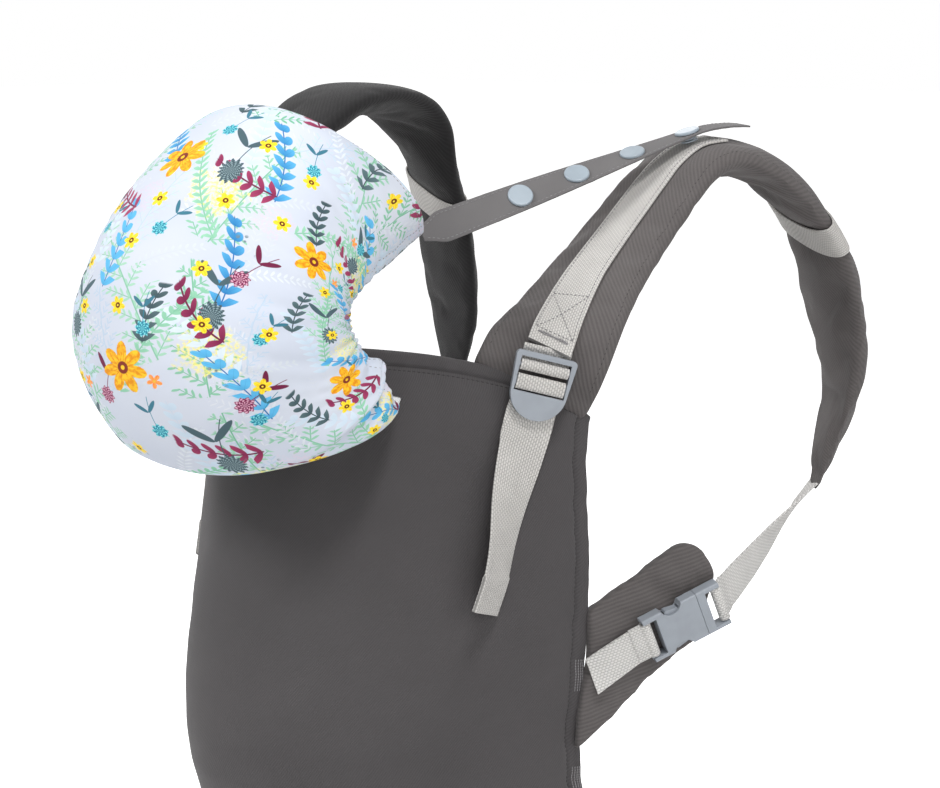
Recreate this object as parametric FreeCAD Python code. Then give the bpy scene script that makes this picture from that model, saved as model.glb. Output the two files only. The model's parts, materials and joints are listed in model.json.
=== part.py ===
import FreeCAD, Part
import math
import os

# Soft baby carrier, toddler size. Origin at the centre of the waist belt, where the wearer's waist is.
# +Z is up, -Y is away from the wearer, +X is the carrier's right-hand side. All sizes in millimetres.

os.makedirs("parts", exist_ok=True)

Vector = FreeCAD.Vector

# ---- shared sizes ----
sides = {"right": 1, "left": -1}
layerGap = 0.3          # air between two layers of one sewn piece
seatGap = 0.4           # air between a piece and what it lies on
runGap = 0.3            # running clearance of moulded pieces
clothThickness = 1.8    # twill with its backing
webbingThickness = 1.5

# ---- waist belt ----
beltHalfWidth = 165.0
beltHalfDepth = 125.0
beltHeight = 110.0
beltThickness = 18.0
beltOpenHalf = 98.0     # half of the unpadded stretch at the back
beltEndHeight = 66.0    # height of the padded belt at its two ends
beltTaperStart = 20.0   # the belt narrows behind this Y

# ---- panel ----
panelThickness = 10.0
panelPadding = 5.0
panelPower = 2.1        # how square the panel is in plan
# height, half width, Y of the side edges, Y of the front
panelLevels = [
    (beltHeight / 2, 145.0, -43.0, -116.0),
    (85.0, 152.0, -74.0, -200.0),
    (120.0, 157.0, -98.0, -262.0),
    (175.0, 162.0, -117.0, -284.0),
    (250.0, 168.0, -119.0, -278.0),
    (330.0, 170.0, -120.0, -256.0),
    (400.0, 170.0, -120.0, -236.0),
    (475.0, 169.0, -119.0, -222.0),
]
cornerHeight = 410.0    # top corner of the panel's side edge
topRise = 39.5          # how far the top edge rises to its middle
topPower = 4.4
hemHeight = 13.0
hemThickness = 1.6

# ---- shoulder straps: x, y, z of the strap's middle, the plan angle and the rise of its width ----
rightFront = [
    (142.4, -145.0, 427.0, 48.0, -23.0),
    (150.0, -131.0, 456.0, 22.0, -5.0),
    (145.0, -94.0, 484.0, 2.0, 0.0),
    (144.0, -57.0, 512.0, -6.0, 0.0),
    (147.0, -22.0, 543.0, -10.0, 0.0),
    (155.0, 12.0, 568.0, -18.0, 0.0),
]
rightBack = [
    (188.0, 141.0, 424.0, -39.0, 0.0),
    (185.0, 139.0, 386.0, -43.0, 0.0),
    (178.0, 130.0, 348.0, -45.0, 0.0),
]
leftFront = [
    (-142.4, -145.0, 427.0, 132.0, -23.0),
    (-151.0, -138.0, 466.0, 138.0, -5.0),
    (-152.0, -122.0, 510.0, 148.0, 0.0),
    (-150.0, -99.0, 551.0, 160.0, 0.0),
    (-147.0, -66.0, 584.0, 170.0, 0.0),
    (-148.0, -26.0, 601.0, 178.0, 0.0),
    (-152.0, 15.0, 601.0, 182.0, 0.0),
    (-156.0, 54.0, 586.0, 178.0, 0.0),
]
leftBack = [
    (-180.0, 131.0, 443.0, 155.6, 0.0),
    (-187.0, 141.0, 401.0, 153.0, 0.0),
    (-188.5, 143.5, 372.0, 151.0, 0.0),
]
# where the keeper band sits: the strap is a round arc there
bandSpots = {
    "right": {"place": (183.0, 101.0, 520.0), "along": (0.1, 0.63, -0.77), "across": (0.88, -0.42, -0.22),
              "radius": 170.0, "turns": (20.0, 5.0, -10.0, -24.0)},
    "left": {"place": (-166.0, 102.0, 520.0), "along": (-0.15, 0.45, -0.88), "across": (-0.91, 0.29, 0.3),
             "radius": 300.0, "turns": (8.0, 0.0, -8.0)},
}
strapRoutes = {"right": (rightFront, rightBack), "left": (leftFront, leftBack)}
strapWidth = 86.0
strapThickness = 20.0
strapBase = (84.0, 8.0)         # width and thickness where it is sewn to the panel
strapEnd = (40.0, 11.0)         # and at its lower end
strapBaseLength = 95.0          # how far the two ends taper
strapTaperLength = 66.0
strapStep = 21.0                # distance between the strap's sections
padRound = 6.0          # chamfer that rounds the pad's edges
strapEndLength = 16.0
strapWebbing = 32.0
bandWidth = 25.0
bandClearance = 1.2
bandThickness = 1.6

# ---- ladder lock and its webbing: x, z and distance from the panel, on the right side ----
lockTop = (151.0, 447.5, 10.5)
lockBottom = (148.0, 407.0, 9.5)
lockAcross = Vector(0.60, 0.76, -0.25)
lock = {"width": 41.0, "lowerWidth": 37.0, "length": 43.0, "thickness": 4.4, "rim": 3.5, "windowEnd": 26.0,
        "round": 3.0, "bar1": 9.0, "bar1Radius": 1.8, "bar2": 20.0, "bar2Half": 2.2, "bar2Radius": 1.1}
stitchAbove = 5.0       # the webbing bends this far above the lock
foldGap = 0.3           # the bend's two sides stop this far from the bending line
tailRoute = [
    (148.0, 421.0, 6.0),
    (146.0, 412.0, 6.0),
    (138.0, 354.0, 6.0),
    (134.0, 304.0, 6.0),
    (129.5, 279.0, 6.0),
]
anchorRoute = [
    (147.0, 398.0, 1.6),
    (148.5, 411.0, 2.6),
    (149.5, 420.0, 3.3),
]

# ---- side wing and side webbing ----
wingTurn = 58.0         # plan angle of the wing's length
wingCorner = Vector(170.5, -119.0, 0.0)
# along the wing, height
wingOutline = [(0.0, 187.0), (39.0, 228.0), (75.0, 254.0), (88.0, 298.0), (70.0, 323.0), (0.0, 277.0)]
wingRound = 15.0
wingThickness = 9.0
sideWebbing = 25.0
webbingRoot = 234.0     # height of the webbing's root on the side edge
buckleStart = (36.0, 257.5)   # along the wing, height
buckleRise = 24.0       # the buckle points up by this angle
buckleRoll = 12.0       # and its upper edge leans outward
buckleOut = 9.5         # distance of its middle from the wing
strapSag = 1.5

# ---- side release buckles ----
sideBuckle = {"web": 25.0, "width": 33.0, "length": 40.0, "thickness": 9.0, "slotEnd": 9.5, "barRadius": 1.9,
              "barAt": 2.0, "wall": 1.6, "sideWall": 3.0, "cavityStart": 11.0, "scallopAt": 21.5,
              "scallopHalf": 7.5, "scallopDepth": 5.5, "hingeIn": 2.0, "hingeY": 10.0, "rootRadius": 2.0,
              "squeeze": 0.010, "base": 6.0, "slot": 7.0, "travel": 26.0, "tongueHalf": 2.8, "edge": 1.5}
waistBuckle = {"web": 50.0, "width": 60.0, "length": 60.0, "thickness": 12.0, "slotEnd": 12.0, "barRadius": 2.4,
               "barAt": 2.6, "wall": 2.0, "sideWall": 4.0, "cavityStart": 14.0, "scallopAt": 32.0,
               "scallopHalf": 11.0, "scallopDepth": 7.0, "hingeIn": 3.0, "hingeY": 20.0, "rootRadius": 2.8,
               "squeeze": 0.006, "base": 8.0, "slot": 9.0, "travel": 42.0, "tongueHalf": 5.0, "edge": 2.0}

# ---- hood: each rib arches over the child's head from side edge to side edge ----
hoodReach = 125.0       # degrees of arch on each side
hoodCentre = Vector(0.0, -260.0, 500.0)
hoodSteps = 12          # points on each half of a rib
hoodCloth = 2.0
hoodGap = 0.6
hoodLining = 1.5
elasticWidth = 9.0
# half width of the arch, Y and Z of the rib's top, then Y and Z of its two side ends
hoodRibs = [
    (107.0, -291.0, 381.0, -214.0, 417.0),
    (108.0, -325.0, 375.0, -231.0, 438.0),
    (112.0, -357.0, 418.0, -250.0, 455.0),
    (110.0, -358.0, 486.0, -260.0, 471.0),
    (102.0, -326.0, 551.0, -253.0, 483.0),
    (97.0, -285.0, 592.0, -232.0, 495.0),
    (91.0, -256.0, 609.0, -199.0, 509.0),
    (85.0, -243.0, 598.0, -169.0, 522.0),
]
hoodSeat = (97.0, 402.0, 417.0)     # half length of the seam on the panel, height of its middle and ends
hoodStrapWidth = 22.0
snapPitch = 43.0
snapCount = 4
snappedCap = 3          # the last cap sits on the right stud; the left strap hangs unfastened
studStation = {"right": 5, "left": 3}   # the strap station that carries the stud
hoodStrapTip = 44.0
hoodStrapStart = 1.0    # the strap starts this far from the hood's corner
hoodStrapReach = 232.0  # length of the hanging strap down to its last cap
hoodStrapDroop = 9.0    # the tip bends down by this much
capRadius = 8.5
capThickness = 1.8
socketRadius = 5.5
socketThickness = 2.4
postRadius = 1.6
nippleRadius = 2.2
nippleGap = 0.08
studBaseRadius = 6.0
studBaseThickness = 1.0


# ---- small helpers ----
def unit(v):
    return v * (1.0 / v.Length)


def planVector(degrees):
    return Vector(math.cos(math.radians(degrees)), math.sin(math.radians(degrees)), 0.0)


def mirrored(v, side):
    return Vector(v.x * side, v.y, v.z)


def polygon(points):
    return Part.makePolygon(list(points) + [points[0]])


def prism(points, push):
    return Part.Face(polygon(points)).extrude(push)


def placed(shape, origin, xAxis, yAxis):
    x = unit(xAxis)
    z = unit(x.cross(yAxis))
    y = z.cross(x)
    matrix = FreeCAD.Matrix(x.x, y.x, z.x, origin.x, x.y, y.y, z.y, origin.y, x.z, y.z, z.z, origin.z, 0, 0, 0, 1)
    moved = shape.copy()
    moved.Placement = FreeCAD.Placement(matrix)
    return moved


def box(x0, x1, y0, y1, z0, z1):
    return Part.makeBox(x1 - x0, y1 - y0, z1 - z0, Vector(x0, y0, z0))


def largestSolid(shape):
    return max(shape.Solids, key=lambda s: s.Volume)


def save(name, shape):
    solids = shape.Solids
    for solid in solids:
        if not solid.isValid() or solid.Volume <= 0:
            print("CHECK", name, "valid", solid.isValid(), "volume", round(solid.Volume, 2))
    kept = solids[0] if len(solids) == 1 else Part.makeCompound(solids)
    kept.exportStep("parts/" + name + ".step")
    print(name, len(solids), round(sum(s.Volume for s in solids) / 1000, 2), "cm3")


# ---- strips that follow a route ----
def framesOf(stations, side):
    # each station is (place, hint of the width's direction); returns place, along, across, out
    frames = []
    last = len(stations) - 1
    for i, (place, hint) in enumerate(stations):
        along = unit(stations[min(i + 1, last)][0] - stations[max(i - 1, 0)][0])
        across = unit(hint - along * hint.dot(along))
        frames.append({"place": place, "along": along, "across": across, "out": across.cross(along) * side})
    return frames


def stationsOf(route):
    stations = []
    for x, y, z, turn, rise in route:
        hint = planVector(turn) + Vector(0, 0, math.tan(math.radians(rise)))
        stations.append((Vector(x, y, z), hint))
    return stations


def mixAt(values, marks, t):
    # straight-line value between the two nearest marks
    k = max(i for i in range(len(marks) - 1) if marks[i] <= t)
    share = (t - marks[k]) / (marks[k + 1] - marks[k])
    return values[k] * (1 - share) + values[k + 1] * share


def evenStations(stations, step):
    # the same route with sections at even distances
    places = [place for place, _ in stations]
    hints = [unit(hint) for _, hint in stations]
    marks = [0.0]
    for a, b in zip(places, places[1:]):
        marks.append(marks[-1] + (b - a).Length)
    path = Part.BSplineCurve()
    path.interpolate(Points=places, Parameters=marks)
    count = round(marks[-1] / step)
    at = [marks[-1] * k / count for k in range(count + 1)]
    return [(path.value(t), mixAt(hints, marks, t)) for t in at], at


def eased(share):
    share = min(max(share, 0.0), 1.0)
    return share * share * (3 - 2 * share)


def sectionWire(frame, points):
    return polygon([frame["place"] + frame["across"] * a + frame["out"] * o for a, o in points])


def ribbon(frames, width, low, high):
    # a flat strip: low and high are its faces' distances from the route, one number or one per station
    lows = low if isinstance(low, list) else [low] * len(frames)
    highs = high if isinstance(high, list) else [high] * len(frames)
    wires = []
    for frame, a, b in zip(frames, lows, highs):
        h = width / 2
        wires.append(sectionWire(frame, [(-h, a), (h, a), (h, b), (-h, b)]))
    return Part.makeLoft(wires, True, True)


# ---- waist belt ----
def ellipseAt(turn, inset):
    return Vector((beltHalfWidth - inset) * math.sin(turn), -(beltHalfDepth - inset) * math.cos(turn), 0.0)


def beltEndTurn():
    return math.pi - math.asin(beltOpenHalf / beltHalfWidth)


def beltRing(insetOuter, insetInner, endInset, halfHeight):
    # the padded part of the belt, from one end round the front to the other
    end = beltEndTurn() - endInset / beltHalfWidth
    edges = []
    for inset, order in ((insetOuter, (-end, 0.0, end)), (insetInner, (end, 0.0, -end))):
        steps = 24
        turns = [order[0] + (order[2] - order[0]) * k / steps for k in range(steps + 1)]
        curve = Part.BSplineCurve()
        curve.interpolate([ellipseAt(t, inset) for t in turns])
        edges.append(curve.toShape())
    ends = [(edges[0].lastVertex().Point, edges[1].firstVertex().Point),
            (edges[1].lastVertex().Point, edges[0].firstVertex().Point)]
    wire = Part.Wire([edges[0], Part.makeLine(*ends[0]), edges[1], Part.makeLine(*ends[1])])
    face = Part.Face(wire)
    face.translate(Vector(0, 0, -halfHeight))
    ring = face.extrude(Vector(0, 0, 2 * halfHeight))
    return ring.cut(beltTaperCut(halfHeight))


def beltTaperCut(halfHeight):
    # the belt narrows towards its ends at the back
    lost = beltHeight / 2 - halfHeight
    endY = beltHalfDepth
    wedges = []
    for up in (1, -1):
        profile = [(beltTaperStart, halfHeight), (endY, beltEndHeight / 2 - lost), (endY + 50, beltEndHeight / 2),
                   (endY + 50, beltHeight), (beltTaperStart, beltHeight)]
        points = [Vector(-2 * beltHalfWidth, y, up * z) for y, z in profile]
        wedges.append(prism(points, Vector(4 * beltHalfWidth, 0, 0)))
    return wedges[0].fuse(wedges[1])


def makeBelt():
    skin = clothThickness + layerGap
    save("waist_belt_cover", beltRing(0.0, clothThickness, 0.0, beltHeight / 2))
    save("waist_belt_foam", beltRing(skin, beltThickness - skin, 3.0, beltHeight / 2 - layerGap))
    save("waist_belt_lining", beltRing(beltThickness - clothThickness, beltThickness, 0.0, beltHeight / 2))


# ---- panel ----
def panelCurve(level, depth):
    # plan curve of the panel at one level, moved inward by depth
    z, half, edgeY, frontY = level
    points = []
    steps = 12
    for k in range(-steps, steps + 1):
        share = math.sin(math.pi / 2 * k / steps)
        x = half * share
        fall = abs(share) ** panelPower
        y = frontY + (edgeY - frontY) * fall
        slope = 0.0
        if share:
            slope = (edgeY - frontY) * panelPower * fall / share / half
        inward = unit(Vector(-slope, 1.0, 0.0))
        points.append(Vector(x, y, z) + inward * depth)
    return points


def panelLayer(near, far, grow=0.0):
    wires = []
    for level in panelLevels:
        outer = panelCurve(level, near)
        inner = list(reversed(panelCurve(level, far)))
        curves = []
        for points in (outer, inner):
            curve = Part.BSplineCurve()
            curve.interpolate(points)
            curves.append(curve.toShape())
        wires.append(Part.Wire([curves[0], Part.makeLine(outer[-1], inner[0]), curves[1],
                                Part.makeLine(inner[-1], outer[0])]))
    layer = Part.makeLoft(wires, True, False)
    return layer.cut(aboveTopEdge(grow))


def topEdgeHeight(x):
    share = min(abs(x) / panelLevels[-2][1], 1.0)
    return cornerHeight + topRise * (1.0 - share ** topPower)


def aboveTopEdge(raise_):
    half = panelLevels[-2][1]
    steps = 20
    xs = [half * math.sin(math.pi / 2 * k / steps) for k in range(-steps, steps + 1)]
    curve = Part.BSplineCurve()
    curve.interpolate([Vector(x, -450, topEdgeHeight(x) + raise_) for x in xs])
    left, right = -260.0, 260.0
    start, end = curve.StartPoint, curve.EndPoint
    corners = [end, Vector(right, -450, end.z), Vector(right, -450, 700), Vector(left, -450, 700),
               Vector(left, -450, start.z), start]
    lines = [Part.makeLine(a, b) for a, b in zip(corners, corners[1:])]
    return Part.Face(Part.Wire([curve.toShape()] + lines)).extrude(Vector(0, 600, 0))


def makePanel():
    inner = panelThickness - clothThickness
    save("panel_shell", panelLayer(0.0, clothThickness))
    save("panel_padding", panelLayer(clothThickness + layerGap, clothThickness + layerGap + panelPadding))
    save("panel_lining", panelLayer(inner, panelThickness))
    hem = panelLayer(-hemThickness - layerGap, -layerGap, 0.0)
    save("panel_top_hem", largestSolid(hem.common(aboveTopEdge(-hemHeight))))


def panelZone(front):
    # the room that the finished panel takes, and what hangs in front of it, for fitting what is sewn to it
    return panelLayer(-front, panelThickness + seatGap, seatGap)


def panelOuterY(x, z):
    below = [level for level in panelLevels if level[0] <= z][-1]
    above = [level for level in panelLevels if level[0] > z][0]
    t = (z - below[0]) / (above[0] - below[0])
    half, edgeY, frontY = [below[k] + (above[k] - below[k]) * t for k in (1, 2, 3)]
    return frontY + (edgeY - frontY) * (abs(x) / half) ** panelPower


def onPanel(x, z, off):
    # a place in front of the panel, off from its outer face
    slope = (panelOuterY(x + 1, z) - panelOuterY(x - 1, z)) / 2
    return Vector(x, panelOuterY(x, z), z) + unit(Vector(slope, -1.0, 0.0)) * off


def panelTangent(x, z):
    return unit(Vector(1.0, (panelOuterY(x + 1, z) - panelOuterY(x - 1, z)) / 2, 0.0))


# ---- shoulder straps ----
def bandFrame(name):
    spot = bandSpots[name]
    side = sides[name]
    along = unit(Vector(*spot["along"]))
    hint = Vector(*spot["across"])
    across = unit(hint - along * hint.dot(along))
    return {"place": Vector(*spot["place"]), "along": along, "across": across, "out": across.cross(along) * side}


def strapStations(name):
    front, back = strapRoutes[name]
    middle = bandFrame(name)
    radius = bandSpots[name]["radius"]
    centre = middle["place"] - middle["out"] * radius
    bend = []
    for turn in bandSpots[name]["turns"]:
        a = math.radians(turn)
        bend.append((centre + (middle["out"] * math.cos(a) - middle["along"] * math.sin(a)) * radius,
                     middle["across"]))
    return stationsOf(front) + bend + stationsOf(back)


def coverSection(half, thick, up):
    # one half of the cover: a channel that closes at the seam along the pad's two edges
    wall = clothThickness
    seam = layerGap / 2
    c = min(padRound, thick / 2)
    points = [(-half, seam), (-half, thick - c), (c - half, thick), (half - c, thick), (half, thick - c),
              (half, seam), (half - wall, seam), (half - wall, thick - c), (half - c, thick - wall),
              (c - half, thick - wall), (wall - half, thick - c), (wall - half, seam)]
    return [(a, up * o) for a, o in points]


def foamSection(half, thick):
    wall = clothThickness + layerGap
    c = min(padRound, thick / 2)
    a, b = half - wall, half - c - layerGap
    p, q = thick - c - layerGap, thick - wall
    return [(-a, -p), (-b, -q), (b, -q), (a, -p), (a, p), (b, q), (-b, q), (-a, p)]


def padLoft(frames, sections):
    return Part.makeLoft([sectionWire(f, s) for f, s in zip(frames, sections)], True, True)


def strapFrames(name):
    # frames along the pad, each with the pad's half width and half thickness there
    stations, at = evenStations(strapStations(name), strapStep)
    frames = framesOf(stations, sides[name])
    for frame, t in zip(frames, at):
        start, end = eased(t / strapBaseLength), eased((at[-1] - t) / strapTaperLength)
        width = strapEnd[0] + (strapBase[0] + (strapWidth - strapBase[0]) * start - strapEnd[0]) * end
        thickness = strapEnd[1] + (strapBase[1] + (strapThickness - strapBase[1]) * start - strapEnd[1]) * end
        frame["half"], frame["thick"] = width / 2, thickness / 2
    return frames


def frameNear(frames, place):
    return min(frames, key=lambda f: (f["place"] - place).Length)


def makeShoulderStrap(name, zone, frames):
    for layer, up in (("cover", 1), ("lining", -1)):
        shape = padLoft(frames, [coverSection(f["half"], f["thick"], up) for f in frames])
        save("shoulder_" + layer + "_" + name, largestSolid(shape.cut(zone)))
    foam = padLoft(frames, [foamSection(f["half"], f["thick"]) for f in frames])
    save("shoulder_foam_" + name, largestSolid(foam.cut(zone)))


def strapEndFrames(frames):
    # the sewn end of the pad, where the lower webbing leaves it
    last = frames[-1]
    start = dict(last, place=last["place"] + last["along"] * layerGap)
    tip = dict(last, place=last["place"] + last["along"] * (layerGap + strapEndLength))
    return start, tip


def makeStrapEnd(name, frames):
    start, tip = strapEndFrames(frames)
    h, t = start["half"], start["thick"]
    wide = [(-h, -t), (h, -t), (h, t), (-h, t)]
    h, t = sideWebbing / 2 + 2.0, 3.0
    narrow = [(-h, -t), (h, -t), (h, t), (-h, t)]
    save("shoulder_end_" + name, Part.makeLoft([sectionWire(start, wide), sectionWire(tip, narrow)], True, True))


def lockFrame(name):
    side = sides[name]
    top, bottom = onPanel(*lockTop), onPanel(*lockBottom)
    across = unit(lockAcross)
    down = bottom - top
    down = unit(down - across * down.dot(across))
    return {"place": mirrored(top, side), "down": mirrored(down, side), "across": mirrored(across, side),
            "out": mirrored(down.cross(across), side)}


def stitchPlace(name):
    # the line where the webbing bends when the lock is lifted
    f = lockFrame(name)
    return f["place"] - f["down"] * stitchAbove - f["out"] * (lock["bar1Radius"] + layerGap + webbingThickness / 2)


def makeStrapWebbing(name, frames):
    # lies on the outer face of the pad, from the lock's stitching to the lower end
    f = lockFrame(name)
    first = {"place": stitchPlace(name) - f["down"] * foldGap, "across": f["across"] * sides[name], "out": f["out"],
             "thick": -layerGap - webbingThickness / 2}
    chosen = [first] + frames[2:]
    lows = [g["thick"] + layerGap for g in chosen]
    highs = [low + webbingThickness for low in lows]
    save("strap_webbing_" + name, ribbon(chosen, strapWebbing, lows, highs))


def makeBand(name, frames):
    # a loose loop of webbing round the pad, bent to the same arc as the strap
    spot = bandSpots[name]
    middle = bandFrame(name)
    radius = spot["radius"]
    centre = middle["place"] - middle["out"] * radius
    half = strapWidth / 2 + bandClearance
    inside = strapThickness / 2 + bandClearance
    outside = inside + layerGap + webbingThickness
    spread = bandWidth / 2 / radius
    rings = []
    for grow in (bandThickness, 0.0):
        wires = []
        for k in (-1, -0.33, 0.33, 1):
            a = k * spread * (1.0 if grow else 1.2)
            frame = {"place": centre + (middle["out"] * math.cos(a) - middle["along"] * math.sin(a)) * radius,
                     "across": middle["across"],
                     "out": middle["out"] * math.cos(a) - middle["along"] * math.sin(a)}
            wires.append(sectionWire(frame, [(-half - grow, -inside - grow), (half + grow, -inside - grow),
                                             (half + grow, outside + grow), (-half - grow, outside + grow)]))
        rings.append(Part.makeLoft(wires, True, False))
    save("strap_band_" + name, rings[0].cut(rings[1]))


# ---- ladder lock ----
def lockShape():
    top, low = lock["width"] / 2, lock["lowerWidth"] / 2
    bottom, start = lock["length"], lock["windowEnd"]
    arc = Part.Arc(Vector(low, start, 0), Vector(0, bottom, 0), Vector(-low, start, 0)).toShape()
    outline = Part.Wire([Part.makeLine(Vector(-top, 0, 0), Vector(top, 0, 0)),
                         Part.makeLine(Vector(top, 0, 0), Vector(low, start, 0)), arc,
                         Part.makeLine(Vector(-low, start, 0), Vector(-top, 0, 0))])
    half = lock["thickness"] / 2
    plate = Part.Face(outline).extrude(Vector(0, 0, 2 * half))
    plate.translate(Vector(0, 0, -half))
    corners = [e for e in plate.Edges if abs(e.BoundBox.ZLength - 2 * half) < 0.01 and e.BoundBox.YMax < 1]
    plate = plate.makeFillet(lock["round"], corners)
    inside = strapWebbing / 2 + 0.8
    plate = plate.cut(box(-inside, inside, lock["rim"], start, -half - 1, half + 1))
    bar = Part.makeCylinder(lock["bar1Radius"], 2 * inside + 1, Vector(-inside - 0.5, lock["bar1"], 0), Vector(1, 0, 0))
    flat = stadium(lock["bar2Half"], lock["bar2Radius"], 2 * inside + 1)
    flat.translate(Vector(0, lock["bar2"], 0))
    return plate.fuse([bar, flat])


def stadium(halfLength, radius, width):
    # a rounded bar along X, its section long in Y
    ends = [Part.makeCylinder(radius, width, Vector(-width / 2, y, 0), Vector(1, 0, 0))
            for y in (-halfLength, halfLength)]
    if halfLength == 0:
        return ends[0]
    return box(-width / 2, width / 2, -halfLength, halfLength, -radius, radius).fuse(ends)


def webbingLoop(halfLength, radius, width):
    inner = radius + layerGap
    outer = inner + webbingThickness
    return stadium(halfLength, outer, width).cut(stadium(halfLength, inner, width + 2))


def makeLock(name):
    f = lockFrame(name)
    xAxis = f["across"] * -sides[name]
    save("ladder_lock_" + name, placed(lockShape(), f["place"], xAxis, f["down"]))
    # the end of the strap webbing round the upper bar, with its sewn tab behind the rim
    loop = webbingLoop(0.0, lock["bar1Radius"], strapWebbing)
    loop.translate(Vector(0, lock["bar1"], 0))
    back = -(lock["bar1Radius"] + layerGap)
    tab = box(-strapWebbing / 2, strapWebbing / 2, foldGap - stitchAbove, lock["bar1"], back - webbingThickness, back)
    half = lock["thickness"] / 2
    hole = Part.makeCylinder(lock["bar1Radius"] + layerGap, strapWebbing + 2,
                             Vector(-strapWebbing / 2 - 1, lock["bar1"], 0), Vector(1, 0, 0))
    upper = loop.fuse(tab).cut(hole)
    upper = upper.cut(box(-30, 30, -1, lock["rim"] + layerGap, -half - 0.1, half + 1))
    # the adjusting webbing wrapped round the lower bar
    wrap = webbingLoop(lock["bar2Half"], lock["bar2Radius"], strapWebbing)
    wrap.translate(Vector(0, lock["bar2"], 0))
    pair = Part.makeCompound([largestSolid(upper), wrap])
    save("lock_webbing_" + name, placed(pair, f["place"], xAxis, f["down"]))


def hangingStrip(route, side):
    stations = [(mirrored(onPanel(*spot), side), mirrored(panelTangent(spot[0], spot[1]), side)) for spot in route]
    return ribbon(framesOf(stations, side), strapWebbing, -webbingThickness / 2, webbingThickness / 2)


def makeTail(name):
    save("adjuster_tail_" + name, hangingStrip(tailRoute, sides[name]))
    save("adjuster_anchor_" + name, hangingStrip(anchorRoute, sides[name]))


# ---- side release buckle; +X is the way the plug leaves, Y across, Z through ----
def windowHalf(b):
    radius = scallopRadius(b)
    reach = scallopCentreY(b) - (b["width"] / 2 - b["sideWall"])
    return math.sqrt(radius ** 2 - reach ** 2)


def scallopRadius(b):
    return (b["scallopHalf"] ** 2 + b["scallopDepth"] ** 2) / (2 * b["scallopDepth"])


def scallopCentreY(b):
    return b["width"] / 2 - b["scallopDepth"] + scallopRadius(b)


def housingShape(b):
    w, t, length = b["width"] / 2, b["thickness"] / 2, b["length"]
    body = box(0, length, -w, w, -t, t)
    body = body.makeFillet(b["edge"], [e for e in body.Edges if e.BoundBox.XLength > length - 1])
    inside = b["web"] / 2 + 0.8
    body = body.cut(box(-1, b["slotEnd"], -inside, inside, -t - 1, t + 1))
    bar = Part.makeCylinder(b["barRadius"], 2 * inside + 1, Vector(b["barAt"], -inside - 0.5, 0), Vector(0, 1, 0))
    cavityHalf = w - b["sideWall"]
    body = body.cut(box(b["cavityStart"], length + 1, -cavityHalf, cavityHalf, -t + b["wall"], t - b["wall"]))
    for up in (1, -1):
        scallop = Part.makeCylinder(scallopRadius(b), 2 * t + 2, Vector(b["scallopAt"], up * scallopCentreY(b), -t - 1))
        body = body.cut(scallop)
    return body.fuse(bar)


def prongShape(b):
    # one springy arm: it swings on its root and its pad fills the scallop
    half = windowHalf(b)
    cavityHalf = b["width"] / 2 - b["sideWall"]
    hingeX = b["length"] - b["hingeIn"]
    windowEnd = b["scallopAt"] + half
    tip, rear = b["scallopAt"] - half + 0.7, windowEnd - 1.3

    def allowed(x):
        return cavityHalf - runGap + b["squeeze"] * (windowEnd - x) * (hingeX - x)

    crown = tip + 0.25 * (rear - tip)
    r = b["rootRadius"]
    armOut = b["hingeY"] + r
    armIn = b["hingeY"] - r
    points = [(tip, allowed(crown) - 1.2), (tip + 0.9, allowed(crown) - 0.15), (crown, allowed(crown) - 0.15),
              ((crown + rear) / 2, allowed((crown + rear) / 2) - 0.15), (rear, allowed(rear) - 0.1),
              (rear + 0.5, armOut), (hingeX, armOut), (hingeX, armIn), (rear, armIn + 1.3), (tip, armIn + 2.6)]
    z = b["thickness"] / 2 - b["wall"] - runGap
    arm = prism([Vector(x, y, -z) for x, y in points], Vector(0, 0, 2 * z))
    return arm.fuse(Part.makeCylinder(r, 2 * z, Vector(hingeX, b["hingeY"], -z)))


def plugShape(b):
    w, t, length = b["width"] / 2, b["thickness"] / 2, b["length"]
    face = length + runGap
    z = t - b["wall"] - runGap
    inside = b["web"] / 2 + 0.8
    barX = face + b["base"] + b["slot"] + b["barRadius"]
    end = barX + b["barRadius"]
    block = box(face, end, -w, w, -t, t)
    block = block.makeFillet(b["edge"], [e for e in block.Edges if e.BoundBox.XLength > 5])
    block = block.cut(box(face + b["base"], end + 1, -inside, inside, -t - 1, t + 1))
    bar = Part.makeCylinder(b["barRadius"], 2 * inside + 1, Vector(barX, -inside - 0.5, 0), Vector(0, 1, 0))
    rootHalf = b["hingeY"] - b["rootRadius"] - 1.6
    root = box(length - 2.5 * b["hingeIn"], face + 1, -rootHalf, rootHalf, -z, z)
    tongue = box(b["cavityStart"] + 2, face + 1, -b["tongueHalf"], b["tongueHalf"], -z, z)
    return block.fuse([bar, root, tongue])


def barLoop(b, x, back):
    # the webbing's folded end round a bar, with its doubled tab leaving along -X (back 1) or +X (back -1)
    loop = webbingLoop(0.0, b["barRadius"], b["web"])
    ring = placed(loop, Vector(x, 0, 0), Vector(0, 1, 0), Vector(1, 0, 0))
    reach = b["barRadius"] + layerGap + webbingThickness
    start, end = x - back * (reach - 0.6), x - back * (reach + 8)
    tab = box(min(start, end), max(start, end), -b["web"] / 2, b["web"] / 2, -webbingThickness, webbingThickness)
    hole = Part.makeCylinder(b["barRadius"] + layerGap, b["web"] + 2, Vector(x, -b["web"] / 2 - 1, 0), Vector(0, 1, 0))
    return ring.fuse(tab).cut(hole)


def plugBar(b):
    return b["length"] + runGap + b["base"] + b["slot"] + b["barRadius"]


def loopReach(b):
    return b["barRadius"] + layerGap + webbingThickness + 8


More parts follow.
